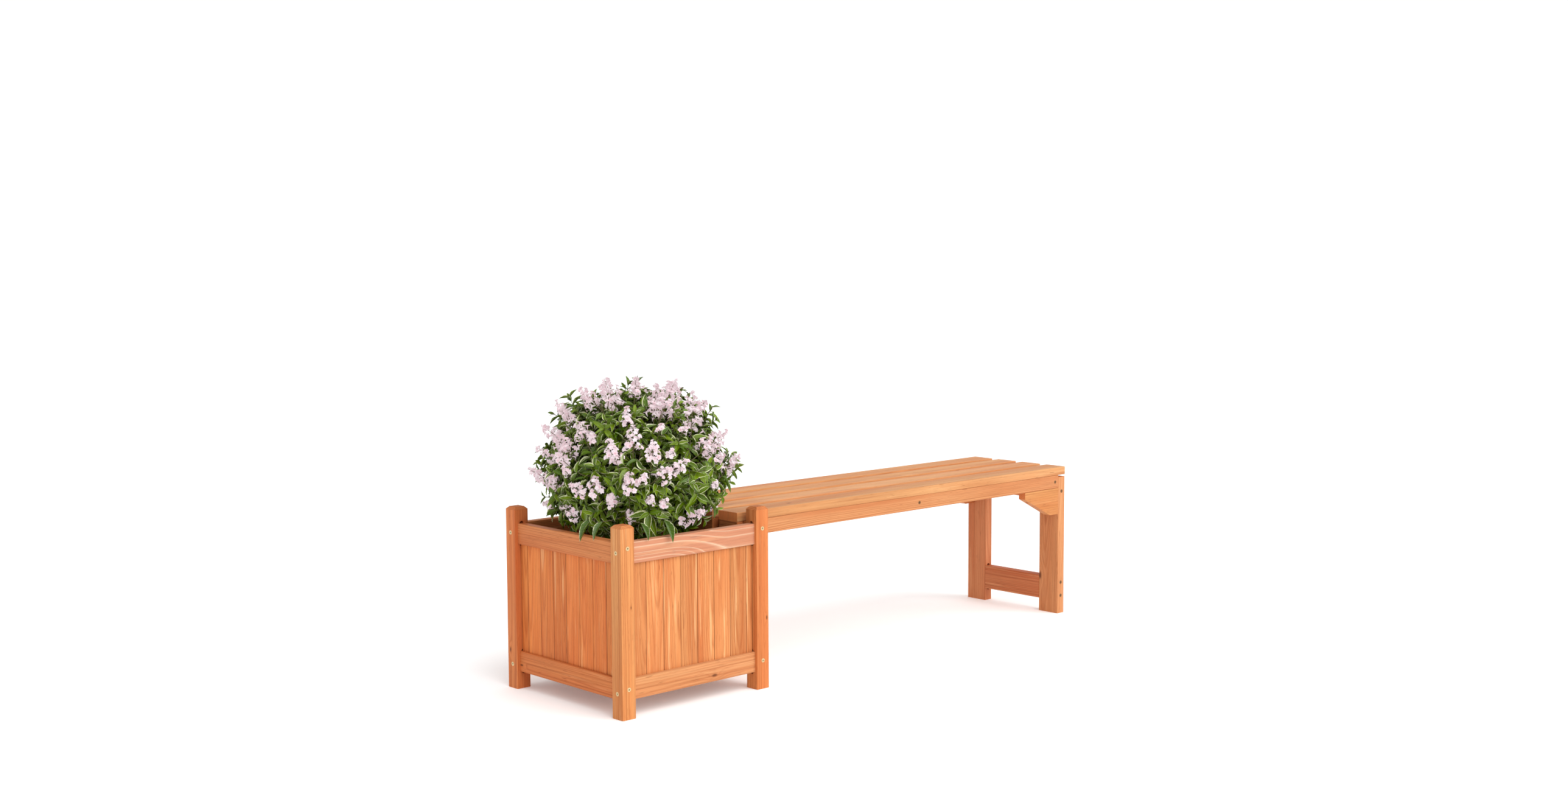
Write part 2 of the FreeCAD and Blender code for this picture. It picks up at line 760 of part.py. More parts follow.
crown_bottom = size["upper_rail_top"] - size["crown_drop"]
crown_middle = seat_top + size["crown_rise"]
stem_length = crown_bottom - size["soft_clearance"] - soil_top
slab_width = 6 * size["stem_ring"]
stem_slab = block("stem_slab", planter_middle_x - slab_width / 2, planter_middle_y - slab_width / 2,
                  soil_top, slab_width, slab_width, stem_length)
stems = []
for number in range(STEMS):
    turn = math.radians(360 * number / (STEMS - 1))
    spread = 1 if number < STEMS - 1 else 0
    lean = math.sin(math.radians(STEM_TILT)) * spread
    direction = (math.cos(turn) * lean, math.sin(turn) * lean, math.cos(math.radians(STEM_TILT * spread)))
    x = planter_middle_x + size["stem_ring"] * math.cos(turn) * spread
    y = planter_middle_y + size["stem_ring"] * math.sin(turn) * spread
    pole = rod(f"stem_{number}_pole", x, y, soil_top - stem_length / 2, size["stem_radius"],
               stem_length * 2.5, direction)
    stem = doc.addObject("Part::Common", f"stem_{number}")
    stem.Base = pole
    stem.Tool = stem_slab
    stems.append(stem)
keep("shrub_stems", group("stems", stems))

crown_skirt = seat_top + size["soft_clearance"]
core = doc.addObject("Part::Ellipsoid", "crown_core")
bind(core, "Radius1", size["crown_half_height"] - size["crown_core_inset"])
bind(core, "Radius2", size["crown_radius"] - size["crown_core_inset"])
bind(core, "Radius3", size["crown_radius"] - size["crown_core_inset"])
place(core, planter_middle_x, planter_middle_y, crown_middle)
mounds = [core]
for ring, (rise, number, first) in enumerate(LOBE_RINGS):
    out = (size["crown_radius"] - size["crown_lobe_radius"]) * math.cos(math.radians(rise))
    lift = (size["crown_half_height"] - size["crown_lobe_radius"]) * math.sin(math.radians(rise))
    for step in range(number):
        turn = math.radians(first + 360 * step / number)
        lobe = doc.addObject("Part::Sphere", f"crown_lobe_{ring}_{step}")
        bind(lobe, "Radius", size["crown_lobe_radius"])
        mounds.append(place(lobe, planter_middle_x + out * math.cos(turn),
                            planter_middle_y + out * math.sin(turn), crown_middle + lift))
above = block("above_skirt", planter_middle_x - size["crown_radius"] * 1.5,
              planter_middle_y - size["crown_radius"] * 1.5, crown_skirt, size["crown_radius"] * 3,
              size["crown_radius"] * 3, size["crown_half_height"] * 2.5)
dome = doc.addObject("Part::Common", "crown_dome")
dome.Base = union("crown_mounds", mounds)
dome.Tool = above
neck = doc.addObject("Part::Cone", "crown_neck")
bind(neck, "Radius1", size["crown_neck_radius"])
bind(neck, "Radius2", slat_start - planter_middle_x - size["crown_slat_gap"])
bind(neck, "Height", crown_skirt - crown_bottom)
place(neck, planter_middle_x, planter_middle_y, crown_bottom)
keep("shrub_crown", union("crown", [dome, neck]))

# Every piece is finished by taking its mortises, grooves and screw holes out of it

for label, thing in subparts.items():
    if cutters[label]:
        thing = difference(label + "_cut", thing, union(label + "_cutters", cutters[label]))
        subparts[label] = thing
    thing.Label = label
doc.recompute()

for thing in doc.Objects:
    if "Invalid" in thing.State or "Error" in thing.State:
        raise RuntimeError(f"{thing.Name} failed: {thing.State}")
for label, thing in subparts.items():
    if thing.Shape.isNull() or not thing.Shape.isValid():
        raise RuntimeError(f"{label} has no valid shape")

os.makedirs("parts", exist_ok=True)
for label, thing in subparts.items():
    thing.Shape.exportStep(f"parts/{label}.step")
    print(f"{label}: {len(thing.Shape.Solids)} solids, {thing.Shape.Volume / 1000:.1f} cm3")
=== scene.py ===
"""Bench with a planter at one end: the finish of its fir and screws, its soil and its flowering shrub."""

import contextlib
import math

import bpy
import numpy as np
from bpy.props import FloatProperty, FloatVectorProperty, IntProperty, PointerProperty
from mathutils import Matrix, Vector


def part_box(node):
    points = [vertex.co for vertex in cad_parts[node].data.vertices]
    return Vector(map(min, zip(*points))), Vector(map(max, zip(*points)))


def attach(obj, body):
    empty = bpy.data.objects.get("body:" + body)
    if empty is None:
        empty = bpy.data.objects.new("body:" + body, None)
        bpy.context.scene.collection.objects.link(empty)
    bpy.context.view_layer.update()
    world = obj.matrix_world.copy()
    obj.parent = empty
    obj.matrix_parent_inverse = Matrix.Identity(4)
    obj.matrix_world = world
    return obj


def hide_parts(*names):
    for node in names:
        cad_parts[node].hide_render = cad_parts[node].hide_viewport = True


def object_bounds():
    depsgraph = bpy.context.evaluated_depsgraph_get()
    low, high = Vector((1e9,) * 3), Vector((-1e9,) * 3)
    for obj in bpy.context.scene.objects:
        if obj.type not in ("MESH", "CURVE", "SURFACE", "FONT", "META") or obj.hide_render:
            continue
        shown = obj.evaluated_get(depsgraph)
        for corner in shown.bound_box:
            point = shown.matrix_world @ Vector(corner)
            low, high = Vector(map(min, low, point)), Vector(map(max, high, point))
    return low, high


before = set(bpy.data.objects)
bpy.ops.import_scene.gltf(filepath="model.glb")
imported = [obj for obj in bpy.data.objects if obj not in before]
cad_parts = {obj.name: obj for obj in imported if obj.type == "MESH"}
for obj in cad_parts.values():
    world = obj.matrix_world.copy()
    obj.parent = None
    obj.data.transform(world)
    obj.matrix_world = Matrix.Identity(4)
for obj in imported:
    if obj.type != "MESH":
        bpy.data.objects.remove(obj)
CAD_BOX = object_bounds()

bl_info = {
    "name": "Bench with Planter",
    "version": (1, 0, 0),
    "blender": (4, 5, 0),
    "location": "3D View > Sidebar > Bench",
    "description": "Finishes the fir bench with its planter, soil and flowering shrub",
    "category": "Object",
}

# Camera of the catalogue view: where it stands, how it is turned, its lens
CAMERA_PLACE = (-2.878615, -2.962481, 0.946235)
CAMERA_AZIMUTH = math.radians(43.2122)
CAMERA_DROP = math.radians(5.005)
CAMERA_ROLL = math.radians(-0.2405)
LENS = 41.24
SENSOR = 36.0

# Soft room light, how bright the room looks, the wide light from the front, and where that one comes from
ROOM_LIGHT = 0.80
ROOM_SEEN = 1.05
KEY_LIGHT = 2.3
KEY_WIDTH = math.radians(62)
KEY_FROM = (0.10, -0.75, 0.68)

# Crown of the shrub: its middle and half sizes are those of its solid
CROWN_LOW, CROWN_HIGH = (Vector(corner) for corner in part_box("shrub_crown"))
CROWN_SIDE = (CROWN_HIGH.x - CROWN_LOW.x) / 2
CROWN_RISE = 0.193
CROWN_MIDDLE = np.array(((CROWN_LOW.x + CROWN_HIGH.x) / 2, (CROWN_LOW.y + CROWN_HIGH.y) / 2,
                         CROWN_HIGH.z - CROWN_RISE))
CROWN_HALF = np.array((CROWN_SIDE, CROWN_SIDE, CROWN_RISE))
SOIL_LOW, SOIL_HIGH = (Vector(corner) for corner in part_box("potting_soil"))
POST_HIGH = Vector(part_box("post_front_left")[1])
RAIL_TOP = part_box("front_upper_rail")[1][2]
UP = np.array((0.0, 0.0, 1.0))

# Lobes of the crown, as in its solid: degrees above the level, how many, and the turn of the first
LOBE_RINGS = ((90, 1, 0), (50, 6, 30), (0, 8, 0), (-26, 8, 22.5))
LOBE_RADIUS = 0.058
CORE_INSET = 0.026

# Flower panicles of the front: tip and foot to the right of and above the crown's middle, and width, mm
FRONT_PANICLES = (
    (3, 191, 3, 145, 28), (-63, 185, -35, 128, 50), (-114, 165, -74, 128, 36), (-170, 141, -128, 88, 28),
    (-112, 97, -90, 56, 40), (-197, 87, -148, 57, 31), (-162, 68, -122, 26, 48), (-208, 44, -158, 13, 18),
    (-224, -4, -150, -35, 31), (-150, -79, -108, -99, 31), (-195, -74, -172, -83, 17),
    (-137, 5, -123, -13, 20), (-124, -31, -90, -51, 30), (-74, -12, -63, -54, 40), (-42, 62, -24, 14, 40),
    (-6, 127, -6, 90, 24), (8, 91, 8, 38, 40), (51, 58, 45, 14, 40), (91, 43, 79, 23, 20),
    (4, -6, 2, -46, 36), (35, -9, 23, -31, 24), (120, 17, 58, -21, 37), (-40, -48, -33, -73, 25),
    (-1, -84, 7, -107, 24), (43, -51, 41, -69, 17), (86, 186, 62, 108, 62), (45, 172, 45, 108, 42),
    (121, 157, 122, 83, 50), (192, 73, 140, 29, 48), (219, 25, 188, -13, 30), (187, 29, 171, 7, 26),
    (150, -89, 96, -115, 30), (75, -58, 69, -74, 17), (-80, 70, -74, 54, 17), (173, -27, 164, -42, 17),
    (116, 88, 106, 72, 22), (66, 90, 60, 74, 20), (-150, 131, -138, 108, 24), (86, 181, 74, 160, 26),
    (150, 138, 132, 120, 24), (-152, 29, -130, 11, 24), (-68, 182, -58, 154, 32),
)
# Leaf rosettes that face the front: place as above, leaf length, lean to the side
FRONT_ROSETTES = (
    (42, -88, 62, 0.1), (-96, -106, 56, -0.2), (-52, 84, 52, 0.0), (-70, 8, 46, 0.2), (86, -118, 50, 0.1),
    (-20, -118, 48, 0.0), (140, -50, 48, 0.3), (-160, -52, 46, -0.3), (30, 128, 44, 0.1),
    (100, 55, 44, 0.1), (-122, -60, 46, -0.2), (20, -60, 46, 0.0), (112, -70, 46, 0.2),
    (-35, -30, 42, 0.0), (52, -134, 50, 0.1), (16, -140, 46, 0.0), (-60, -134, 46, -0.1),
    (112, -126, 46, 0.2), (-128, -118, 46, -0.2),
)
# Loose sprigs at the rim, placed as above, with the way that each points to the right and up
FRONT_SPRIGS = (
    (163, 127, 0.6, 1.0), (172, 98, 1.0, 0.5), (200, -34, 1.0, -0.1), (186, -62, 1.0, -0.3),
    (176, -88, 1.0, -0.5), (-190, -62, -1.0, 0.1), (-178, -88, -1.0, -0.2), (-150, -116, -1.0, -0.6),
    (-176, 112, -1.0, 0.6), (-142, 150, -0.4, 1.0), (-20, 168, -0.3, 1.0), (28, 160, 0.2, 1.0),
    (-190, 22, -1.0, 0.2), (150, -112, 0.8, -0.8), (-104, -124, -0.4, -1.0), (96, -128, 0.2, -1.0),
    (20, -128, 0.0, -1.0), (-60, -126, -0.3, -1.0),
)
# Leaves that hang over the rails: share of the rail from its low end, leaf length in mm, lean to the side
RIM_LEAVES = {
    "front_upper_rail": ((0.305, 54, 0.10), (0.130, 42, -0.20)),
    "left_upper_rail": ((0.190, 44, -0.15), (0.295, 52, 0.10)),
}


class BenchSizes(bpy.types.PropertyGroup):
    ring_width: FloatProperty(name="Ring width", description="Width of one year's ring in the fir",
                              default=0.0030, min=0.0005, unit="LENGTH")
    leaf_length: FloatProperty(name="Leaf length", description="Length of a grown leaf",
                               default=0.038, min=0.01, unit="LENGTH")
    leaf_width: FloatProperty(name="Leaf width", description="Width of a grown leaf",
                              default=0.0130, min=0.004, unit="LENGTH")
    outer_shoots: IntProperty(name="Outer shoots", description="Leafy shoots at the crown's surface",
                              default=400, min=10)
    inner_shoots: IntProperty(name="Inner shoots", description="Leafy shoots inside the crown",
                              default=280, min=0)
    low_shoots: IntProperty(name="Low shoots", description="Leafy shoots low above the rails",
                            default=34, min=0)
    blossom_width: FloatProperty(name="Blossom width", description="Width of one open blossom",
                                 default=0.0120, min=0.003, unit="LENGTH")
    rear_panicles: IntProperty(name="Rear panicles", description="Flower panicles on the far side",
                               default=40, min=0)
    crumbs: IntProperty(name="Soil crumbs", description="Loose crumbs on the soil", default=700, min=0)
    soil_relief: FloatProperty(name="Soil relief", description="Height of the soil's unevenness",
                               default=0.009, min=0.0, unit="LENGTH")
    stem_radius: FloatProperty(name="Stem radius", description="Radius of a stem where it leaves the soil",
                               default=0.0045, min=0.001, unit="LENGTH")


class BenchColours(bpy.types.PropertyGroup):
    fir: FloatVectorProperty(name="Fir", description="Pale wood of a ring", subtype="COLOR",
                             default=(0.615, 0.228, 0.074), min=0, max=1)
    fir_line: FloatVectorProperty(name="Fir line", description="Dark wood of a ring", subtype="COLOR",
                                  default=(0.425, 0.122, 0.033), min=0, max=1)
    fir_end: FloatVectorProperty(name="Fir end", description="Sawn end of the fir", subtype="COLOR",
                                 default=(0.58, 0.185, 0.060), min=0, max=1)
    screw: FloatVectorProperty(name="Screw", description="Yellow plating of the screws", subtype="COLOR",
                               default=(0.80, 0.64, 0.36), min=0, max=1)
    soil: FloatVectorProperty(name="Soil", description="Moist potting soil", subtype="COLOR",
                              default=(0.030, 0.019, 0.012), min=0, max=1)
    bark: FloatVectorProperty(name="Bark", description="Bark of the shrub's stems", subtype="COLOR",
                              default=(0.16, 0.105, 0.06), min=0, max=1)
    young_bark: FloatVectorProperty(name="Young bark", description="Bark of the twigs", subtype="COLOR",
                                    default=(0.11, 0.085, 0.035), min=0, max=1)
    leaf: FloatVectorProperty(name="Leaf", description="Green of the leaves", subtype="COLOR",
                              default=(0.096, 0.162, 0.002), min=0, max=1)
    leaf_edge: FloatVectorProperty(name="Leaf edge", description="Cream edge of the leaves",
                                   subtype="COLOR", default=(0.72, 0.74, 0.45), min=0, max=1)
    petal: FloatVectorProperty(name="Petal", description="Pink of the petals", subtype="COLOR",
                               default=(0.50, 0.412, 0.434), min=0, max=1)
    calyx: FloatVectorProperty(name="Calyx", description="Brown pink of calyx and buds", subtype="COLOR",
                               default=(0.36, 0.17, 0.14), min=0, max=1)
    floor: FloatVectorProperty(name="Floor", description="Pale studio floor", subtype="COLOR",
                               default=(0.97, 0.97, 0.97), min=0, max=1)


class Flow:
    """A value that runs through a node tree. Sums and products of flows add the nodes that work them out."""

    def __init__(self, net, socket):
        self.net = net
        self.socket = socket
        self.wide = socket.type in ("VECTOR", "RGBA")

    def worked(self, operation, a, b):
        return (self.net.vector if self.wide else self.net.math)(operation, a, b)

    def __add__(self, other):
        return self.worked("ADD", self, other)

    def __sub__(self, other):
        return self.worked("SUBTRACT", self, other)

    def __rsub__(self, other):
        return self.worked("SUBTRACT", other, self)

    def __mul__(self, other):
        if self.wide and not isinstance(other, tuple) and not getattr(other, "wide", False):
            return self.net.scaled(self, other)
        return self.worked("MULTIPLY", self, other)

    def __truediv__(self, other):
        return self.worked("DIVIDE", self, other)

    def __pow__(self, other):
        return self.net.math("POWER", self, other)

    def __abs__(self):
        return self.net.math("ABSOLUTE", self)

    def held(self):
        """The same value, kept between 0 and 1 by the node that works it out."""
        self.socket.node.use_clamp = True
        return self

    def beside(self, output):
        """Another output of the same node."""
        return Flow(self.net, self.socket.node.outputs[output])


class Net:
    """A node tree with short ways to add nodes and join them."""

    def __init__(self, tree):
        self.tree = tree

    def feed(self, socket, value):
        if isinstance(value, Flow):
            self.tree.links.new(value.socket, socket)
        else:
            socket.default_value = value

    def add(self, kind, output=0, inputs=(), **settings):
        node = self.tree.nodes.new("ShaderNode" + kind)
        for name, value in settings.items():
            setattr(node, name, value)
        for name, value in dict(inputs).items():
            self.feed(node.inputs[name], value)
        return Flow(self, node.outputs[output])

    def coords(self, output):
        return self.add("TexCoord", output)

    def math(self, operation, a, b=0.0):
        return self.add("Math", 0, {0: a, 1: b}, operation=operation)

    def vector(self, operation, a, b=(0.0, 0.0, 0.0)):
        return self.add("VectorMath", "Value" if operation == "LENGTH" else "Vector", {0: a, 1: b},
                        operation=operation)

    def scaled(self, a, factor):
        return self.add("VectorMath", "Vector", {0: a, "Scale": factor}, operation="SCALE")

    def axes(self, a):
        split = self.add("SeparateXYZ", 0, {"Vector": a})
        return [split.beside(axis) for axis in "XYZ"]

    def joined(self, x, y, z):
        return self.add("CombineXYZ", 0, {"X": x, "Y": y, "Z": z})

    def noise(self, place, stretch, detail=2.0, roughness=0.5, output="Fac"):
        """Noise that repeats so many times in a metre, the same or other along each axis."""
        stretch = stretch if isinstance(stretch, tuple) else (stretch,) * 3
        return self.add("TexNoise", output, {"Vector": self.vector("MULTIPLY", place, stretch), "Scale": 1.0,
                                             "Detail": detail, "Roughness": roughness})

    def chance(self, number):
        """A colour by chance for each number, and a value beside it."""
        return self.add("TexWhiteNoise", "Value", {"W": number}, noise_dimensions="1D")

    def ramp(self, value, *stops):
        """A value that follows these stops, each a place and a level."""
        mapped = self.add("ValToRGB", "Color", {"Fac": value})
        marks = mapped.socket.node.color_ramp.elements
        while len(marks) < len(stops):
            marks.new(0.5)
        for mark, (where, level) in zip(marks, stops):
            mark.position = where
            mark.color = (level, level, level, 1.0)
        return self.add("SeparateColor", 0, {"Color": mapped})

    def blend(self, amount, a, b, kind="MIX"):
        return self.add("Mix", 2, {0: amount, 6: a, 7: b}, data_type="RGBA", blend_type=kind)

    def tinted(self, colour, level):
        grey = self.add("CombineColor", 0, {"Red": level, "Green": level, "Blue": level})
        return self.blend(1.0, colour, grey, "MULTIPLY")


def toned(colour, *shares):
    """An opaque colour times one share, or times a share for each of red, green and blue."""
    shares = shares if len(shares) == 3 else (shares or (1.0,)) * 3
    return (*(min(1.0, c * k) for c, k in zip(colour, shares)), 1.0)


def finish_material(name, build):
    """A material around one shader. build(net) gives its sockets; relief is height, strength and depth."""
    material = bpy.data.materials.new(name)
    material.use_nodes = True
    net = Net(material.node_tree)
    shader = next(node for node in material.node_tree.nodes if node.type == "BSDF_PRINCIPLED")
    given = build(net)
    if "relief" in given:
        height, strength, depth = given.pop("relief")
        given["Normal"] = net.add("Bump", 0, {"Height": height, "Strength": strength, "Distance": depth})
    for label, value in given.items():
        net.feed(shader.inputs[label], value)
    return material


# Noise in the fir: repeats in a metre along, across and through the grain, detail and roughness
FIBRE = ((12, 620, 620), 3, 0.62)
HAIR = ((26, 2100, 2100), 2, 0.6)
CLOUD = ((2.4, 34, 34), 2, 0.5)
RUDDY = ((1.3, 26, 26), 1, 0.5)
WAVER = ((2.2, 11, 11), 2, 0.45, "Color")
WAVER_REACH = 0.009
# Marks in the fir: where their noise is moved to, its repeats and detail, and where they begin and are full
MARKS = {
    "fleck": ((0.0, 0.0, 0.0), (42, 850, 850), 1, 0.665, 0.74),
    "resin": ((1.7, 2.2, 5.1), (1.5, 240, 240), 1, 0.62, 0.68),
    "streak": ((3.1, 0.4, 0.9), (4.5, 85, 85), 2, 0.60, 0.68),
    "thread": ((8.3, 1.4, 2.9), (3.0, 330, 330), 1, 0.58, 0.68),
    "pin": ((4.4, 6.1, 0.3), (22, 300, 300), 1, 0.735, 0.775),
}
# How pale early wood turns to late wood in the course of a ring
RING_COURSE = ((0.0, 0.35), (0.10, 0.0), (0.45, 0.10), (0.86, 1.0), (1.0, 0.35))
# How much of the sawn end shows by how far a face is turned to the grain; chamfers show half of it
SAWN_COURSE = ((0.50, 0.0), (0.72, 0.55), (0.97, 1.0))
# Dark heart of a knot from its middle out, its colour, and how far it pushes the rings aside
KNOT_COURSE = ((0.0, 1.0), (0.42, 0.95), (0.70, 0.35), (1.0, 0.0))
KNOT_COLOUR = (0.19, 0.062, 0.024, 1.0)
KNOT_PUSH = 1.5
FIR_INPUTS = {
    "Place": "Vector", "Facing": "Vector", "Seed": "Float", "Pith": "Vector", "Lean": "Vector",
    "Ring Width": "Float", "Pale": "Color", "Line": "Color", "End": "Color", "Line Strength": "Float",
    "Line Sharpness": "Float", "Streaks": "Float", "Clouds": "Float", "Bend From": "Float",
    "Bend To": "Float", "Bend": "Float", "Knot Place": "Vector", "Knot Radius": "Float",
}
FIR_OUTPUTS = {"Colour": "Color", "Roughness": "Float", "Height": "Float"}


def planed_fir():
    """Solid fir: rings about a pith, fibres, flecks, pale streaks, a knot and sawn ends."""
    found = bpy.data.node_groups.get("planed fir")
    if found:
        return found
    tree = bpy.data.node_groups.new("planed fir", "ShaderNodeTree")
    for direction, sockets in (("INPUT", FIR_INPUTS), ("OUTPUT", FIR_OUTPUTS)):
        for label, kind in sockets.items():
            tree.interface.new_socket(label, in_out=direction, socket_type="NodeSocket" + kind)
    net = Net(tree)
    entry = tree.nodes.new("NodeGroupInput")
    given = {label: Flow(net, entry.outputs[label]) for label in FIR_INPUTS}
    place, seed, pale, line = given["Place"], given["Seed"], given["Pale"], given["Line"]
    spot = place + net.joined(seed * 1.37, seed * 0.61, seed * -0.83)

    def mark(name):
        moved, stretch, detail, begins, full = MARKS[name]
        return net.ramp(net.noise(spot + moved, stretch, detail), (begins, 0.0), (full, 1.0))

    def deeper(colour, *shares):
        return net.blend(1.0, colour, (*shares, 1.0), "MULTIPLY")

    # The knot, long along the grain, and how it pulls at the rings around it
    radius = given["Knot Radius"]
    apart = (place - given["Knot Place"]) * (0.42, 1.0, 1.0)
    knot_share = net.vector("LENGTH", apart) / net.math("MAXIMUM", radius, 1e-5)
    has_knot = net.math("GREATER_THAN", radius, 1e-4)
    pull = net.math("POWER", math.e, knot_share ** 2.0 * -0.22) * has_knot

    # Rings about the leaning, bent and wavering pith, of uneven width
    along = net.axes(place)[0]
    waver = (net.noise(spot, *WAVER) - (0.5, 0.5, 0.5)) * WAVER_REACH
    bend = net.add("MapRange", "Result", {
        "Value": along, "From Min": given["Bend From"], "From Max": given["Bend To"], "To Min": 0.0,
        "To Max": given["Bend"]}, interpolation_type="SMOOTHSTEP")
    axis = (place - given["Pith"]) + (waver + given["Lean"] * along) + net.joined(0.0, bend, 0.0)
    reach = net.vector("LENGTH", axis * (0.0, 1.0, 1.0)) + pull * (radius * KNOT_PUSH)
    years = reach / given["Ring Width"]
    years = years + net.noise(net.joined(years * 0.35, seed, 0.0), 1.0, 1.0) * 2.2
    late = net.ramp(net.math("FRACT", years), *RING_COURSE) ** given["Line Sharpness"]
    band = net.noise(net.joined(years * 0.21, seed + 7.0, 0.0), 1.0, 1.0)
    late = late * (band * 1.5 - 0.05).held()

    # Colour: rings, broad clouds, resin, ruddy patches, pale streaks, fibres and dark flecks
    fibre = net.noise(spot, *FIBRE)
    hair = net.noise(spot, *HAIR)
    clouds = given["Clouds"]
    colour = net.blend((late * given["Line Strength"]).held(), pale, line)
    colour = net.blend(net.ramp(net.noise(spot, *CLOUD), (0.38, 0.0), (0.68, 0.62)) * clouds, colour,
                       deeper(line, 1.14, 1.06, 1.0))
    colour = net.blend(mark("resin") * 0.42 * clouds, colour, deeper(line, 0.80, 0.70, 0.66))
    ruddy = net.ramp(net.noise(spot + (0.7, 9.2, 3.6), *RUDDY), (0.40, 0.0), (0.62, 0.75))
    colour = net.blend(ruddy * clouds, colour, deeper(colour, 0.97, 0.86, 0.84))
    streak = net.math("MAXIMUM", mark("streak"), mark("thread") * 0.28)
    colour = net.blend(streak * given["Streaks"], colour, net.blend(0.55, pale, (0.92, 0.56, 0.28, 1.0)))
    colour = net.tinted(colour, (fibre * 0.52 + 0.74) + (hair * 0.32 - 0.16))
    fleck = net.math("MAXIMUM", mark("fleck"), mark("pin") * 1.5)
    colour = net.blend(fleck * 0.42, colour, deeper(line, 0.45, 0.36, 0.36))

    # Sawn ends, and the heart of the knot with its own fine rings
    sawn = net.ramp(abs(net.axes(given["Facing"])[0]), *SAWN_COURSE)
    pores = net.noise(spot, 900, 2) * 0.3 - 0.15
    colour = net.blend(sawn, colour, net.tinted(given["End"], (late * -0.38 + 1.12) + pores))
    heart = net.ramp(knot_share, *KNOT_COURSE) * has_knot
    heart_rings = net.math("SINE", knot_share * 24.0) * 0.13 + 0.9
    colour = net.blend(heart, colour, net.tinted(KNOT_COLOUR, heart_rings))

    out = tree.nodes.new("NodeGroupOutput").inputs
    net.feed(out["Colour"], colour)
    net.feed(out["Roughness"], (fibre * 0.16 + 0.44) + sawn * 0.16 - late * 0.05)
    net.feed(out["Height"], late * 0.35 + fibre * 0.7 + hair * 0.3)
    return tree


# How each piece of fir is cut: the way its grain runs, its pith from its middle, how the pith leans and
# bends, its ring width and line strength as shares, its tint, figure and pale streaks, and its knot
GRAIN_TURN = {"X": (0.0, 0.0, 0.0), "Y": (0.0, 0.0, math.radians(90)), "Z": (0.0, math.radians(-90), 0.0)}
CUTS = {
    "front_upper_rail": {"pith": (0, -0.006, -0.030), "lean": (0, 0, 0), "bend": (-0.09, 0.10, -0.038),
                         "ring": 2.9, "lines": 1.5, "tint": (0.88, 0.98, 1.66), "figure": "pale",
                         "streaks": 0.2},
    "front_lower_rail": {"pith": (0, 0.030, -0.030), "lean": (0, 0.02, 0.015), "tint": (1.03, 1.42, 1.92),
                         "knot": (0.050, -0.010, -0.009), "knot_radius": 0.0045},
    "left_upper_rail": {"tint": (0.96, 0.98, 1.09)},
    "left_lower_rail": {"tint": (0.99, 0.91, 0.87), "knot": (0.157, 0.010, -0.007), "knot_radius": 0.003},
    "front_wall_boards": {"tint": (0.99, 1.10, 1.20), "lines": 1.0, "streaks": 0.75},
    "left_wall_boards": {"tint": (1.10, 0.96, 0.79), "lines": 1.0, "streaks": 0.55},
    "post_front_left": {"tint": (1.06, 1.34, 1.48), "knot": (0.030, -0.017, -0.007), "knot_radius": 0.0018},
    "post_front_right": {"tint": (1.10, 1.16, 1.22), "knot": (-0.043, -0.017, -0.011), "knot_radius": 0.003},
    "post_back_left": {"knot": (-0.113, 0.007, 0.017), "knot_radius": 0.003},
    "front_leg": {"pith": (0, 0.010, 0.030), "lean": (0, 0.030, 0.045), "ring": 1.25, "lines": 0.9,
                  "tint": (1.0, 1.23, 1.62), "knot": (-0.083, 0.026, 0.013), "knot_radius": 0.006},
    "back_leg": {"tint": (0.98, 1.06, 1.44)},
    "front_gusset": {"tint": (0.98, 1.21, 1.34)},
    "lower_cross_rail": {"tint": (0.88, 0.84, 1.08)},
    "seat_slat_1": {"knot": (-0.381, -0.002, 0.010), "knot_radius": 0.004, "tint": (1.0, 1.38, 1.78)},
    "seat_slat_2": {"tint": (1.12, 1.60, 2.20)},
    "front_apron": {"tint": (0.96, 1.19, 1.53)},
}
# Width of a wall board, and where the first board of the walls along X and along Y begins
BOARD_PITCH = 0.045
FIRST_BOARD = {"X": -0.64925, "Y": -0.131}
# Where the painted shade at the edge of a board begins and is full, from its middle to its seam
SEAM_SHADE_COURSE = ((0.945, 0.0), (0.975, 0.75), (1.0, 1.0))


def cut_of(name, box):
    """The cut of one piece: the table's words for it, with chance for what they leave out."""
    chance = np.random.default_rng(sum(ord(letter) * (place + 3) for place, letter in enumerate(name)))
    sides = np.array(box[1]) - np.array(box[0])
    turn = chance.uniform(0, 2 * math.pi)
    far = chance.uniform(0.022, 0.075)
    cut = {"grain": "XYZ"[int(np.argmax(sides))], "pith": (0.0, far * math.cos(turn), far * math.sin(turn)),
           "lean": (0.0, *chance.uniform(-0.022, 0.022, 2)), "ring": chance.uniform(0.85, 1.25),
           "lines": chance.uniform(0.8, 1.0), "tint": tuple(chance.uniform(0.96, 1.04, 3)),
           "knot": (0.0, 0.0, 0.0), "knot_radius": 0.0, "streaks": chance.uniform(0.05, 0.3),
           "seed": chance.uniform(0, 40), "figure": "dark", "end": 1.0, "bend": (-0.1, 0.1, 0.0)}
    if "gusset" in name:
        cut["grain"] = "X"
    if name.startswith("post"):
        cut["end"] = 0.72
    # Painted light: the slats' sawn ends are lighter, to offset the shade that the shrub casts on them
    if "seat_slat" in name:
        cut.update(end=1.6, tint=(1.06, 1.44, 1.86))
    if "wall_boards" in name:
        cut.update(grain="Z", pith=(0.0, 0.0, 0.020), lean=(0.0, 0.006, 0.030))
    cut.update(CUTS.get(name, {}))
    return cut


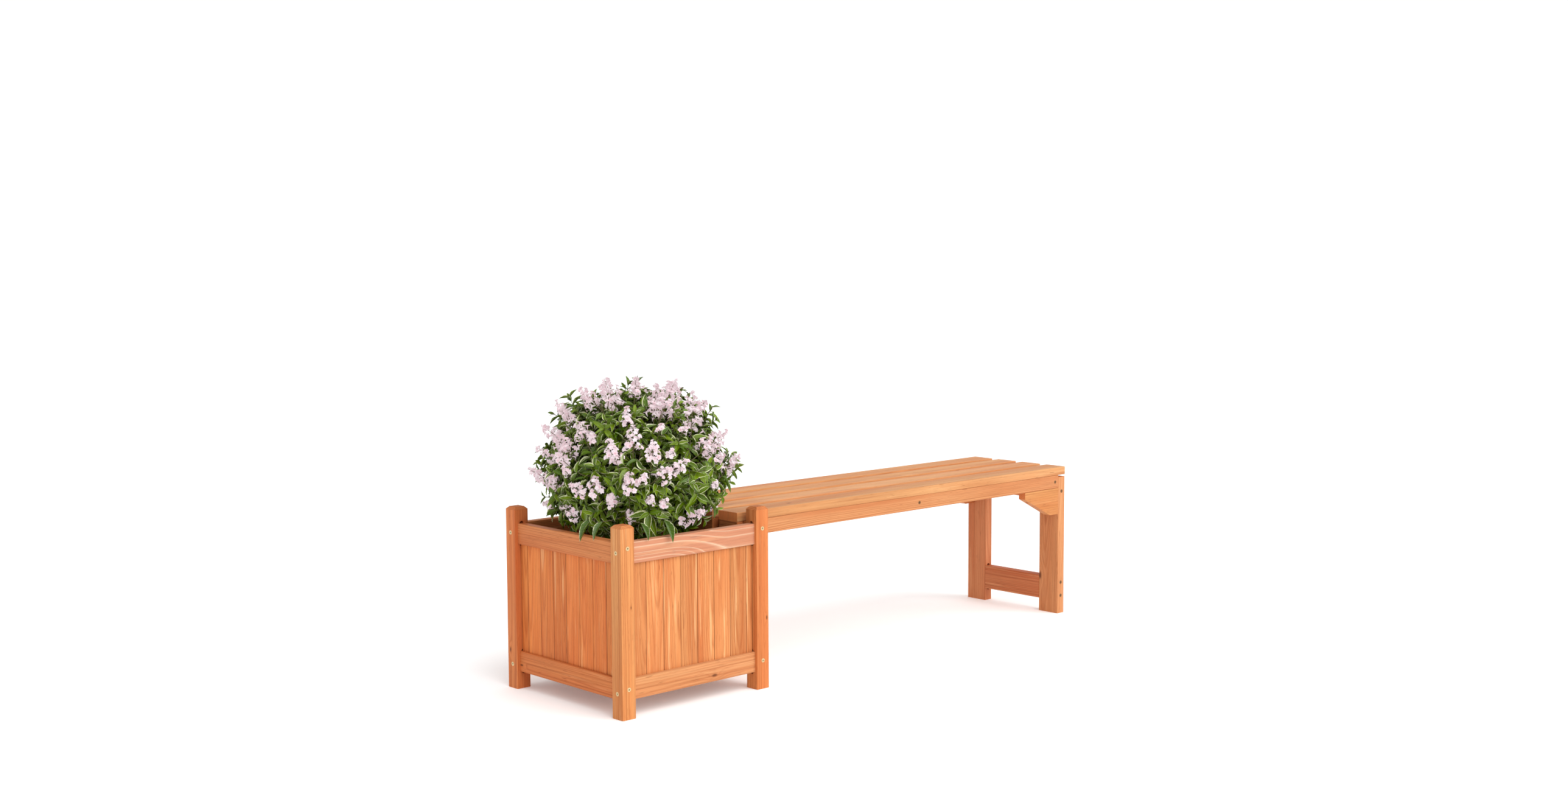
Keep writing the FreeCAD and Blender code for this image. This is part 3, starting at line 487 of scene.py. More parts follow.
def board_cuts(net, name, middle, first_seed, spot):
    """Place in the grain, seed and tone of each board of a wall; painted shade darkens each board more or
    less beside its seams.
    """
    x, y, _ = net.axes(net.coords("Object"))
    if name.startswith(("front", "back")):
        across, depth, first = x, y - middle.y, FIRST_BOARD["X"]
    else:
        across, depth, first = y, x - middle.x, FIRST_BOARD["Y"]
    boards = (across - first) / BOARD_PITCH
    number = net.math("FLOOR", boards)
    chance = net.chance(number + first_seed)
    spread = net.axes(chance.beside("Color") - (0.5, 0.5, 0.5))
    from_middle = across - ((number + 0.5) * BOARD_PITCH + first)
    spot = net.joined(net.axes(spot)[0] + spread[1] * 0.3, from_middle + spread[0] * 0.05, depth)
    seam_chance = net.chance(net.math("FLOOR", boards + 0.5) + (first_seed + 50))
    # Painted shade beside the seams, deeper at some seams than at others
    seam = net.ramp(abs(from_middle) * (2 / BOARD_PITCH), *SEAM_SHADE_COURSE) * (seam_chance * 0.50 + 0.16)
    return spot, chance * 37.0, (spread[2] * 0.20 + 1.0) * (1.0 - seam)


def fir_material(name, box, sizes, colours):
    """The fir of one piece, as it is cut."""
    cut = cut_of(name, box)
    middle = (Vector(box[0]) + Vector(box[1])) / 2
    pale_figure = cut["figure"] == "pale"
    pale = toned(colours.fir, *cut["tint"])
    line = toned(colours.fir_line, *cut["tint"])
    if pale_figure:
        pale, line = toned(pale, 0.93), toned(pale, 1.24, 2.0, 2.45)

    def build(net):
        turn = GRAIN_TURN[cut["grain"]]
        spot = net.add("Mapping", 0, {"Vector": net.coords("Object"), "Location": middle, "Rotation": turn},
                       vector_type="TEXTURE")
        facing = net.add("Mapping", 0, {"Vector": net.coords("Normal"), "Rotation": turn},
                         vector_type="TEXTURE")
        seed, level = cut["seed"], None
        if "wall_boards" in name:
            spot, seed, level = board_cuts(net, name, middle, cut["seed"], spot)
        wood = net.add("Group", "Colour", {
            "Place": spot, "Facing": facing, "Seed": seed, "Pith": cut["pith"], "Lean": cut["lean"],
            "Ring Width": sizes.ring_width * cut["ring"], "Pale": pale, "Line": line,
            "End": toned(colours.fir_end, cut["end"]), "Line Strength": cut["lines"],
            "Line Sharpness": 4.0 if pale_figure else 1.0, "Streaks": cut["streaks"],
            "Clouds": 0.1 if pale_figure else 1.0, "Bend From": cut["bend"][0], "Bend To": cut["bend"][1],
            "Bend": cut["bend"][2], "Knot Place": cut["knot"], "Knot Radius": cut["knot_radius"]},
            node_tree=planed_fir())
        # Wall boards: their own tone times the painted shade beside their seams
        return {"Base Color": net.tinted(wood, level) if level else wood,
                "Roughness": wood.beside("Roughness"), "Specular IOR Level": 0.12,
                "relief": (wood.beside("Height"), 0.35, 0.0005)}

    return finish_material(f"fir {name}", build)


def is_screws(name):
    return name.endswith("_screws")


def node_object(name):
    found = bpy.data.objects.get(name)
    if found is None:
        raise RuntimeError(f"The frame has no piece called {name}")
    return found


SOFT_NODES = ("potting_soil", "shrub_stems", "shrub_crown")
HARD_NODES = [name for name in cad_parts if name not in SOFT_NODES]
FIR_NODES = [name for name in HARD_NODES if not is_screws(name)]


def give(target, *materials):
    target.data.materials.clear()
    for material in materials:
        target.data.materials.append(material)


class BENCH_OT_fir(bpy.types.Operator):
    """Give every rail, post, board, slat and leg its own cut of planed fir"""
    bl_idname = "bench.fir"
    bl_label = "Fir Finish"

    def execute(self, context):
        if not FIR_NODES:
            raise RuntimeError("The frame has no fir pieces")
        for name in FIR_NODES:
            give(node_object(name), fir_material(name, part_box(name), context.scene.bench_sizes,
                                                 context.scene.bench_colours))
        return {"FINISHED"}


# The planter's screws are bright; those of the seat are darker and browner
SEAT_SCREW_SHARES = (0.34, 0.21, 0.14)
# Painted shade in the screws' recesses: how far below a head's outer face it darkens, and the colour of that
# shade down there
RECESS_SHADE_DEPTH = 0.0010
RECESS_SHADE_COLOUR = (0.030, 0.018, 0.010, 1.0)


def plated_screw(name, box, tint):
    """Worn plating of one set of screws, with painted shade in the recesses below the heads' outer faces."""
    low, high = (Vector(corner) for corner in box)

    def build(net):
        place = net.coords("Object")
        cloud = net.noise(place, 420, 3, 0.6)
        scratch = net.noise(place, (5200, 900, 5200), 2, 0.7)
        warm = net.blend(net.ramp(cloud, (0.35, 0.0), (0.65, 1.0)), toned(tint),
                         toned(tint, 0.72, 0.60, 0.48))
        depth = 1.0
        for side in (*net.axes(place - low), *net.axes(place - high)):
            depth = net.math("MINIMUM", depth, abs(side))
        # Painted shade: darker the deeper a point lies below the heads' outer faces
        below = (depth * (1 / RECESS_SHADE_DEPTH) - 0.15).held()
        return {"Base Color": net.blend(below, net.tinted(warm, scratch * 0.5 + 0.7), RECESS_SHADE_COLOUR),
                "Metallic": 0.5, "Roughness": cloud * 0.22 + 0.30, "relief": (scratch, 0.25, 0.0001)}
    return finish_material(f"plated {name}", build)


class BENCH_OT_screws(bpy.types.Operator):
    """Give the countersunk screws their worn yellow plating"""
    bl_idname = "bench.screws"
    bl_label = "Screw Finish"

    def execute(self, context):
        names = [name for name in HARD_NODES if is_screws(name)]
        if not names:
            raise RuntimeError("The frame has no screws")
        bright = context.scene.bench_colours.screw
        seat_screw_tint = [c * k for c, k in zip(bright, SEAT_SCREW_SHARES)]
        for name in names:
            tint = bright if name == "post_screws" else seat_screw_tint
            give(node_object(name), plated_screw(name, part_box(name), tint))
        return {"FINISHED"}


def deselect():
    if bpy.context.object and bpy.context.object.mode != "OBJECT":
        bpy.ops.object.mode_set(mode="OBJECT")
    bpy.ops.object.select_all(action="DESELECT")


def pick_alone(piece):
    deselect()
    piece.select_set(True)
    bpy.context.view_layer.objects.active = piece


@contextlib.contextmanager
def editing():
    """Edit the active object's mesh for a while."""
    bpy.ops.object.mode_set(mode="EDIT")
    yield
    bpy.ops.object.mode_set(mode="OBJECT")


def new_piece(name, slot, *stands_for):
    """Name the active object and hang it on the bench."""
    piece = bpy.context.object
    piece.name = name
    piece.data.name = name
    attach(piece, "root")
    if stands_for:
        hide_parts(*stands_for)
    return piece


def take_model(piece):
    """Corners, faces, UV and face materials of a small model, which is then removed."""
    mesh = piece.data
    layer = mesh.uv_layers.active
    arrays = (np.array([v.co[:] for v in mesh.vertices]), [tuple(p.vertices) for p in mesh.polygons],
              np.array([layer.data[loop].uv[:] for p in mesh.polygons for loop in p.loop_indices]),
              [p.material_index for p in mesh.polygons])
    bpy.data.objects.remove(piece, do_unlink=True)
    return arrays


def copies_of(shape, turns, places):
    """Corners of the copies of a model, each turned and set in its place."""
    return np.einsum("nij,vj->nvi", turns, shape) + places[:, None, :]


def strewn(name, models, picks, turns, places, tones):
    """One mesh with a copy of a model at each place, each with its own turn, size and tone."""
    corners, faces, uvs, kinds, tone_list = [], [], [], [], []
    start = 0
    for number, (shape, shape_faces, shape_uv, shape_kinds) in enumerate(models):
        rows = np.flatnonzero(picks == number)
        if not len(rows):
            continue
        corners.append(copies_of(shape, turns[rows], places[rows]).reshape(-1, 3))
        count = len(shape)
        for base in range(start, start + len(rows) * count, count):
            faces.extend(tuple(base + c for c in face) for face in shape_faces)
        uvs.append(np.tile(shape_uv, (len(rows), 1)))
        kinds.extend(shape_kinds * len(rows))
        tone_list.append(np.repeat(tones[rows], count))
        start += len(rows) * count
    mesh = bpy.data.meshes.new(name)
    mesh.from_pydata(np.concatenate(corners).tolist(), [], faces)
    layer = mesh.uv_layers.new(name="surface")
    layer.data.foreach_set("uv", np.concatenate(uvs).ravel())
    mesh.polygons.foreach_set("use_smooth", np.ones(len(faces), bool))
    mesh.polygons.foreach_set("material_index", np.array(kinds, np.int32))
    own = mesh.attributes.new("tone", "FLOAT", "POINT")
    own.data.foreach_set("value", np.concatenate(tone_list).astype(np.float32))
    mesh.update()
    piece = bpy.data.objects.new(name, mesh)
    bpy.context.scene.collection.objects.link(piece)
    pick_alone(piece)


def unit(vectors):
    vectors = np.asarray(vectors, float)
    return vectors / np.maximum(np.linalg.norm(vectors, axis=-1, keepdims=True), 1e-9)


def frames_from(forward, upward):
    """Turns whose Y runs forward and whose Z is as near to upward as it can be."""
    y = unit(forward)
    x = unit(np.cross(y, upward))
    z = np.cross(x, y)
    return np.stack((x, y, z), axis=-1)


FIR_BOXES = np.array([[tuple(corner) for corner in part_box(name)] for name in FIR_NODES])
# Room that leaves and blossoms keep from the fir, from the object's box and above the soil
FIR_ROOM = 0.0012
BOX_ROOM = 0.0008
SOIL_ROOM = 0.004
# Copies that are tried at a time, which keeps the arrays small
BATCH = 400


def collides(spots):
    """Which copies have a corner inside a piece of fir or the soil, or outside the object's box."""
    low, high = FIR_BOXES[:, 0] - FIR_ROOM, FIR_BOXES[:, 1] + FIR_ROOM
    inside = ((spots[:, :, None, :] > low) & (spots[:, :, None, :] < high)).all(axis=3).any(axis=(1, 2))
    box_low, box_high = np.array(CAD_BOX[0]) + BOX_ROOM, np.array(CAD_BOX[1]) - BOX_ROOM
    outside = ((spots < box_low) | (spots > box_high)).any(axis=(1, 2))
    in_soil = (spots[:, :, 2] < SOIL_HIGH.z + SOIL_ROOM).any(axis=1)
    return inside | outside | in_soil


def keep_clear(models, picks, turns, places):
    """The rows whose copies stay clear of the fir, the soil and the object's box."""
    kept = np.ones(len(picks), bool)
    for number, model in enumerate(models):
        rows = np.flatnonzero(picks == number)
        for chunk in np.array_split(rows, max(1, len(rows) // BATCH)):
            if len(chunk):
                kept[chunk] = ~collides(copies_of(model[0], turns[chunk], places[chunk]))
    return kept


# Directions of the catalogue view, in which the front of the shrub is placed
VIEW_AHEAD = np.array((math.sin(CAMERA_AZIMUTH) * math.cos(CAMERA_DROP),
                       math.cos(CAMERA_AZIMUTH) * math.cos(CAMERA_DROP), -math.sin(CAMERA_DROP)))
VIEW_RIGHT = np.array((math.cos(CAMERA_AZIMUTH), -math.sin(CAMERA_AZIMUTH), 0.0))
VIEW_UP = np.cross(VIEW_RIGHT, VIEW_AHEAD)


def crown_forms():
    """Middles and half sizes of the crown's core and lobes."""
    forms = [(CROWN_MIDDLE, CROWN_HALF - CORE_INSET)]
    for rise, number, first in LOBE_RINGS:
        out = (CROWN_SIDE - LOBE_RADIUS) * math.cos(math.radians(rise))
        lift = (CROWN_RISE - LOBE_RADIUS) * math.sin(math.radians(rise))
        for step in range(number):
            turn = math.radians(first + 360 * step / number)
            middle = CROWN_MIDDLE + np.array((out * math.cos(turn), out * math.sin(turn), lift))
            forms.append((middle, np.full(3, LOBE_RADIUS)))
    return forms


CROWN_FORMS = crown_forms()


def surface_reach(start, way):
    """How far it is from a point along a direction until the crown is left, or 0 outside it."""
    far = 0.0
    for middle, half in CROWN_FORMS:
        s, w = (start - middle) / half, way / half
        a, b, c = w @ w, s @ w, s @ s - 1
        inside = b * b - a * c
        if inside > 0:
            far = max(far, (-b + math.sqrt(inside)) / a)
    return far


def crown_spot(way, depth):
    """A point under the crown's surface, in a direction from its middle."""
    way = unit(way * CROWN_HALF)
    return CROWN_MIDDLE + way * (surface_reach(CROWN_MIDDLE, way) - depth)


def front_spot(right, up, depth):
    """A point under the crown's near side, to the right of and above its middle, in mm."""
    start = CROWN_MIDDLE + (VIEW_RIGHT * right + VIEW_UP * up) / 1000
    return start - VIEW_AHEAD * max(0.0, surface_reach(start, -VIEW_AHEAD) - depth)


def outward(spots):
    """Directions that leave the crown at these points."""
    return unit((np.asarray(spots) - CROWN_MIDDLE) / CROWN_HALF ** 2)


def spread_directions(count, lowest, chance):
    """Directions spread evenly over the ball above a lowest height."""
    steps = np.arange(count) + 0.5
    z = 1 - (1 - lowest) * steps / count
    turn = steps * math.pi * (3 - math.sqrt(5)) + chance.uniform(0, 6)
    flat = np.sqrt(1 - z ** 2)
    return np.stack((flat * np.cos(turn), flat * np.sin(turn), z), axis=1)


# Front panicles: depth of tip and foot, and how deep one may reach as a share of what shows of it
TIP_DEPTH = 0.002
FOOT_DEPTH = 0.016
DEPTH_SHARE = 0.9
# Rear panicles: how far round and how low they may stand, and the room between their tips
REAR_FROM = 0.12
REAR_LOWEST = -0.45
REAR_ROOM = 0.052
REAR_TRIES = 5000


def panicle_lines(sizes):
    """Foot, tip and width of every flower panicle: the front ones as listed, the rear ones by chance."""
    lines = []
    for tip_right, tip_up, foot_right, foot_up, width in FRONT_PANICLES:
        tip = front_spot(tip_right, tip_up, TIP_DEPTH)
        foot = front_spot(foot_right, foot_up, FOOT_DEPTH)
        # At the rim of the view the surface falls away: foot and tip share what would be too much depth
        shown = math.hypot(tip_right - foot_right, tip_up - foot_up) / 1000
        excess = max(0.0, (tip - foot) @ VIEW_AHEAD - DEPTH_SHARE * shown)
        tip = tip - VIEW_AHEAD * excess * 0.5
        foot = foot + VIEW_AHEAD * excess * 0.5
        lines.append((foot, tip, width / 1000))
    chance = np.random.default_rng(11)
    for _ in range(REAR_TRIES):
        if len(lines) >= len(FRONT_PANICLES) + sizes.rear_panicles:
            break
        way = unit(chance.normal(size=3))
        if (way @ VIEW_AHEAD < REAR_FROM or way[2] < REAR_LOWEST
                or chance.random() > 0.35 + 0.65 * max(0.0, way[2] + 0.3)):
            continue
        tip = crown_spot(way, 0.003)
        if min(np.linalg.norm(tip - other[1]) for other in lines) < REAR_ROOM:
            continue
        length = chance.uniform(0.030, 0.070)
        axis = unit(outward(tip) + 0.55 * UP + chance.normal(scale=0.18, size=3))
        lines.append((tip - axis * length, tip, length * chance.uniform(0.55, 0.8)))
    return lines


# Start of a leaf that hangs over a rail: how far inside the rail's outer face and above its top
RIM_INSET = 0.018
RIM_LIFT = 0.032


def shoot_lines(sizes):
    """Foot, tip, leaf length and kind of every leafy shoot."""
    chance = np.random.default_rng(5)
    shoots = []
    for way in spread_directions(sizes.outer_shoots, -0.72, chance):
        way = unit(way + chance.normal(scale=0.04, size=3))
        tip = crown_spot(way, chance.uniform(0.000, 0.016) + max(0.0, -way[2] - 0.2) * 0.03)
        lift = 0.45 if way[2] > -0.2 else -0.05
        axis = unit(outward(tip) + lift * UP + chance.normal(scale=0.28, size=3))
        length = sizes.leaf_length * chance.uniform(0.72, 1.08)
        shoots.append((tip - axis * chance.uniform(0.045, 0.070), tip, length, "outer"))
    for way in spread_directions(sizes.inner_shoots, -0.75, chance):
        tip = crown_spot(way, chance.uniform(0.020, 0.070))
        axis = unit(outward(tip) + 0.4 * UP + chance.normal(scale=0.4, size=3))
        shoots.append((tip - axis * 0.060, tip, sizes.leaf_length * chance.uniform(0.85, 1.1), "inner"))
    for number in range(sizes.low_shoots):
        turn = 2 * math.pi * (number + chance.uniform(-0.3, 0.3)) / sizes.low_shoots
        way = np.array((math.cos(turn), math.sin(turn), 0.0))
        tip = CROWN_MIDDLE + way * chance.uniform(0.128, 0.158)
        tip[2] = RAIL_TOP + chance.uniform(0.006, 0.034)
        axis = unit(way + chance.uniform(-0.15, 0.25) * UP)
        shoots.append((tip - axis * 0.055, tip, sizes.leaf_length * chance.uniform(0.75, 1.0), "low"))
    for right, up, leaf, lean in FRONT_ROSETTES:
        tip = front_spot(right, up, -0.004)
        axis = unit(-VIEW_AHEAD * 1.2 + VIEW_RIGHT * lean + 0.35 * UP + outward(tip) * 0.4)
        shoots.append((tip - axis * 0.045, tip - axis * 0.004, leaf * 0.82 / 1000, "rosette"))
    for right, up, across, rise in FRONT_SPRIGS:
        tip = front_spot(right, up, 0.010)
        axis = unit(VIEW_RIGHT * across + VIEW_UP * rise - VIEW_AHEAD * 0.35)
        shoots.append((tip - axis * 0.060, tip, sizes.leaf_length * 0.88, "sprig"))
    for foot, tip, _ in panicle_lines(sizes):
        axis = unit(tip - foot)
        shoots.append((foot - axis * 0.055, foot + axis * 0.008, sizes.leaf_length * 0.92, "flowering"))
    for rail, hanging in RIM_LEAVES.items():
        low, high = (np.array(corner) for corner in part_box(rail))
        out = np.array((0.0, -1.0, 0.0)) if rail.startswith("front") else np.array((-1.0, 0.0, 0.0))
        for share, leaf, lean in hanging:
            tip = np.where(out == 0, low + (high - low) * share, low) - out * RIM_INSET
            tip[2] = RAIL_TOP + RIM_LIFT
            shoots.append((tip - out * 0.050 - np.cross(out, UP) * lean * 0.02, tip, leaf / 1000, "rim"))
    return shoots


def leaf_model(droop, fold, wave):
    """A lance-shaped leaf one long, folded along its midrib, from its stalk at the origin along Y."""
    deselect()
    bpy.ops.mesh.primitive_grid_add(x_subdivisions=4, y_subdivisions=6, size=1.0, location=(0, 0.5, 0))
    leaf = bpy.context.object
    bpy.ops.object.transform_apply(location=True)
    for corner in leaf.data.vertices:
        along = min(max(corner.co.y, 0.0), 1.0)
        side = corner.co.x * 2
        breadth = (math.sin(math.pi * along ** 0.82) ** 0.85) * (1 - 0.28 * along ** 3)
        if along < 0.02:
            breadth = 0.09
        if along > 0.98:
            breadth = 0.0
        corner.co.x = side * breadth * 0.5
        corner.co.z = fold * abs(side) ** 1.4 * breadth * 0.5 - droop * along ** 2
        corner.co.z += wave * math.sin(along * 9) * side * breadth * 0.5
        corner.co.y = along - 0.30 * droop * along ** 3
    return take_model(leaf)


# Droop, fold and wave of the leaf models; the last, the stiffest, hangs over the rails
LEAF_SHAPES = ((0.16, 0.30, 0.05), (0.30, 0.22, 0.10), (0.06, 0.42, 0.03))
# How a leaf that hangs over a rail points out and down, and its tone
RIM_OUT = 0.62
RIM_DOWN = 0.78
RIM_TONE = 0.55


def leaf_copies(shoots, sizes, chance):
    """Models, turns, places and tones of the leaves of these shoots, in crossed pairs up each shoot."""
    turns, places, tones, picks = [], [], [], []
    slimness = sizes.leaf_width / sizes.leaf_length
    for foot, tip, length, kind in shoots:
        axis = unit(tip - foot)
        side = unit(np.cross(axis, (0.3, 0.2, 0.9)))
        other = np.cross(axis, side)
        start = chance.uniform(0, math.pi)
        if kind == "rim":
            basis = frames_from(RIM_OUT * axis - RIM_DOWN * UP, RIM_DOWN * axis + RIM_OUT * UP)
            turns.append(basis * np.array((length * slimness, length, length)))
            places.append(tip)
            tones.append(RIM_TONE)
            picks.append(len(LEAF_SHAPES) - 1)
            continue
        pairs = 4 if kind in ("flowering", "inner") else 5
        for pair in range(pairs):
            share = (pair + 0.4) / pairs
            spot = foot + (tip - foot) * (0.25 + 0.75 * share)
            opening = math.radians(84 - 40 * share + chance.normal(0, 9))
            if kind == "rosette":
                opening = math.radians(88 - 34 * share + chance.normal(0, 6))
            turn = start + pair * math.pi / 2 + chance.normal(0, 0.2)
            size = length * (1.0 - 0.42 * share ** 2) * chance.uniform(0.86, 1.1)
            for half in (0.0, math.pi):
                beside = side * math.cos(turn + half) + other * math.sin(turn + half)
                forward = unit(axis * math.cos(opening) + beside * math.sin(opening) - 0.16 * UP)
                upward = axis * math.sin(opening) - beside * math.cos(opening) + 0.35 * UP
                upward = upward + chance.normal(scale=0.22, size=3)
                width = size * slimness * chance.uniform(0.85, 1.15)
                turns.append(frames_from(forward, upward) * np.array((width, size, size)))
                places.append(spot)
                tones.append(chance.random())
                picks.append(chance.integers(0, len(LEAF_SHAPES)))
    return np.array(picks), np.array(turns), np.array(places), np.array(tones)


def covers_blossoms(turns, places, lines):
    """Which leaves would stand inside a flower panicle or hang in front of it."""
    middles = places + turns[:, :, 1] * 0.55
    hidden = np.zeros(len(places), bool)
    for number, (foot, tip, width) in enumerate(lines):
        axis = tip - foot
        share = np.clip((middles - foot) @ axis / (axis @ axis), 0.0, 1.0)
        apart = middles - (foot + share[:, None] * axis)
        front = -VIEW_AHEAD if number < len(FRONT_PANICLES) else outward((foot + tip) / 2)
        ahead = apart @ front
        beside = np.linalg.norm(apart - ahead[:, None] * front, axis=1)
        hidden |= (ahead > 0.0) & (beside < width * 0.48)
    return hidden


# Tone below which a leaf is nearly plain, the green of its midrib and that of its underside
PLAIN_BELOW = 0.32
MIDRIB = (0.22, 0.31, 0.08)
UNDERSIDE = (0.11, 0.17, 0.03)
# Painted shade of the leaves inside the crown: how much of their colour they keep
INNER_PAINTED_SHADE = 0.42


def leaf_material(name, colours, shade):
    """Glossy green with a cream edge, a pale midrib and side veins, and a paler underside; every colour times
    shade, which is painted shade for the leaves inside the crown.
    """
    def shaded(colour, *shares):
        return toned([c * shade for c in colour], *shares)

    def build(net):
        place = net.coords("Object")
        side, along, _ = net.axes(net.coords("UV"))
        tone = net.add("Attribute", "Fac", attribute_name="tone")
        across = abs(side - 0.5) * 2.0
        patch = net.noise(place, 170, 2, 0.6) * 0.40 - 0.20
        plain = net.math("GREATER_THAN", PLAIN_BELOW, tone)
        edge_at = (tone ** 4.0 * -0.34 + 0.93) + plain * 0.14
        edge = (((across + patch) - edge_at) * 14.0).held()
        rib = (across * -20.0 + 1.10).held()
        veins = net.math("SINE", along * 52.0 + across * -13.0) * 0.5 + 0.5
        mottle = net.noise(place, 60, 3, 0.6)
        green = net.blend(net.math("FRACT", tone * 7.31), shaded(colours.leaf, 0.42, 0.55, 0.5),
                          shaded(colours.leaf, 1.70, 1.50, 2.2))
        green = net.tinted(green, mottle * 0.9 + 0.55)
        green = net.blend((1.0 - veins) * 0.18, green, shaded(colours.leaf, 1.9))
        colour = net.blend(rib * 0.5, green, shaded(MIDRIB))
        colour = net.blend(edge * 0.92, colour, shaded(colours.leaf_edge))
        colour = net.blend(net.add("NewGeometry", "Backfacing") * 0.45, colour, shaded(UNDERSIDE))
        return {"Base Color": colour, "Roughness": mottle * 0.24 + 0.12, "Specular IOR Level": 0.36,
                "relief": (veins * 0.35 - rib, 0.5, 0.0006)}
    return finish_material(name, build)


class BENCH_OT_leaves(bpy.types.Operator):
    """Clothe the shrub with its cream-edged leaves, in crossed pairs up each shoot"""
    bl_idname = "bench.leaves"
    bl_label = "Shrub Leaves"

    def execute(self, context):
        sizes, colours = context.scene.bench_sizes, context.scene.bench_colours
        models = [leaf_model(*shape) for shape in LEAF_SHAPES]
        sunny = leaf_material("outer leaf", colours, 1.0)
        # Leaves inside the crown: the same leaf with painted shade
        shaded = leaf_material("shaded leaf", colours, INNER_PAINTED_SHADE)
        parts = {"near_leaves": [], "far_leaves": [], "inner_leaves": []}
        for shoot in shoot_lines(sizes):
            side = "near_leaves" if (shoot[1] - CROWN_MIDDLE) @ VIEW_AHEAD < 0 else "far_leaves"
            parts["inner_leaves" if shoot[3] == "inner" else side].append(shoot)
        lines = panicle_lines(sizes)
        for name, part in parts.items():
            chance = np.random.default_rng(len(name) * 7)
            picks, turns, places, tones = leaf_copies(part, sizes, chance)
            kept = keep_clear(models, picks, turns, places) & ~covers_blossoms(turns, places, lines)
            if not kept.any():
                raise RuntimeError("No leaf found room on the shrub")
            strewn(name, models, picks[kept], turns[kept], places[kept], tones[kept])
            piece = new_piece(name, "shrub_crown", *(("shrub_crown",) if name == "near_leaves" else ()))
            give(piece, shaded if name == "inner_leaves" else sunny)
        return {"FINISHED"}


# Breadth of a petal at its foot, its middle and its tip, as shares of the blossom's width
PETAL_BREADTHS = (0.07, 0.21, 0.14)
PETALS = 5


def blossom_model():
    """An open five-petalled blossom one wide, with its calyx and stalk behind it."""
    deselect()
    bpy.ops.mesh.primitive_grid_add(x_subdivisions=2, y_subdivisions=2, size=1.0, location=(0, 0.5, 0))
    flower = bpy.context.object
    bpy.ops.object.transform_apply(location=True)
    for corner in flower.data.vertices:
        along = corner.co.y
        side = corner.co.x * 2
        corner.co.x = side * PETAL_BREADTHS[int(round(along * 2))]
        corner.co.y = 0.05 + 0.45 * along - (0.05 * abs(side) if along > 0.9 else 0.0)
        corner.co.z = 0.32 * along + 0.10 * abs(side) * along - 0.20 * along ** 3
    with editing():
        bpy.ops.mesh.select_all(action="SELECT")
        bpy.ops.mesh.spin(steps=PETALS - 1, dupli=True, angle=math.radians(360 * (PETALS - 1) / PETALS),
                          center=(0, 0, 0), axis=(0, 0, 1))
    petals = len(flower.data.polygons)
    with editing():
        bpy.ops.mesh.primitive_cone_add(vertices=5, radius1=0.03, radius2=0.16, depth=0.62,
                                        end_fill_type="NOTHING", location=(0, 0, -0.29))
    for number, face in enumerate(flower.data.polygons):
        face.material_index = int(number >= petals)
    return take_model(flower)


def bud_model():
    """A closed bud one long on its stalk."""
    deselect()
    bpy.ops.mesh.primitive_cone_add(vertices=5, radius1=0.05, radius2=0.30, depth=0.8,
                                    end_fill_type="NOTHING", location=(0, 0, -0.2))
    bud = bpy.context.object
    bpy.ops.object.transform_apply(location=True)
    with editing():
        bpy.ops.mesh.select_all(action="DESELECT")
    for edge in bud.data.edges:
        edge.select = all(bud.data.vertices[c].co.z > 0.1 for c in edge.vertices)
    with editing():
        for rise, taper in ((0.34, 0.8), (0.26, 0.05)):
            bpy.ops.mesh.extrude_region_move(TRANSFORM_OT_translate={"value": (0, 0, rise)})
            bpy.ops.transform.resize(value=(taper, taper, 1.0), center_override=(0, 0, 0))
    for face in bud.data.polygons:
        face.material_index = int(face.center.z < 0.2)
    return take_model(bud)


# Blossoms of a panicle: the fewest, how many more by its length and width, and how full it is
FEWEST_BLOSSOMS = 8
BLOSSOMS_BY_AREA = 26000
PANICLE_FULLNESS = 0.95
GOLDEN_TURN = 2.39996
# From where up a panicle more and more of its blossoms are still buds, and the size of a bud
BUDS_FROM = 0.72
BUD_SIZE = 0.42


def blossom_copies(lines, sizes, chance):
    """Models, turns, places and tones of the blossoms and buds, in a spiral up each panicle."""
    turns, places, tones, picks = [], [], [], []
    for foot, tip, width in lines:
        axis = unit(tip - foot)
        length = np.linalg.norm(tip - foot)
        side = unit(np.cross(axis, (0.25, 0.9, 0.3)))
        other = np.cross(axis, side)
        width = width * PANICLE_FULLNESS
        count = int(FEWEST_BLOSSOMS + BLOSSOMS_BY_AREA * length * width)
        for number in range(count):
            share = (number + 0.5) / count
            turn = number * GOLDEN_TURN + chance.normal(0, 0.5)
            radial = side * math.cos(turn) + other * math.sin(turn)
            spread = width / 2 * (1 - share ** 1.8) ** 0.6 * chance.uniform(0.35, 1.08)
            spot = foot + axis * length * (0.02 + 0.96 * share + chance.normal(0, 0.03)) + radial * spread
            facing = unit(radial * (0.9 - 0.4 * share) + axis * (0.3 + 0.6 * share) + outward(spot) * 0.55
                          + chance.normal(scale=0.28, size=3))
            closed = chance.random() < 0.18 + 0.55 * max(0.0, share - BUDS_FROM) / (1 - BUDS_FROM)
            basis = frames_from(np.cross(facing, chance.normal(size=3)), facing)
            size = sizes.blossom_width * chance.uniform(0.72, 1.15) * (1 - 0.20 * share)
            turns.append(basis * size * (BUD_SIZE if closed else 1.0))
            places.append(spot)
            tones.append(chance.random() * (0.3 if closed else 1.0))
            picks.append(int(closed))
    return np.array(picks), np.array(turns), np.array(places), np.array(tones)


# Painted glow of the petals: emission that stands in for light coming through them
PETAL_PAINTED_GLOW = 0.74


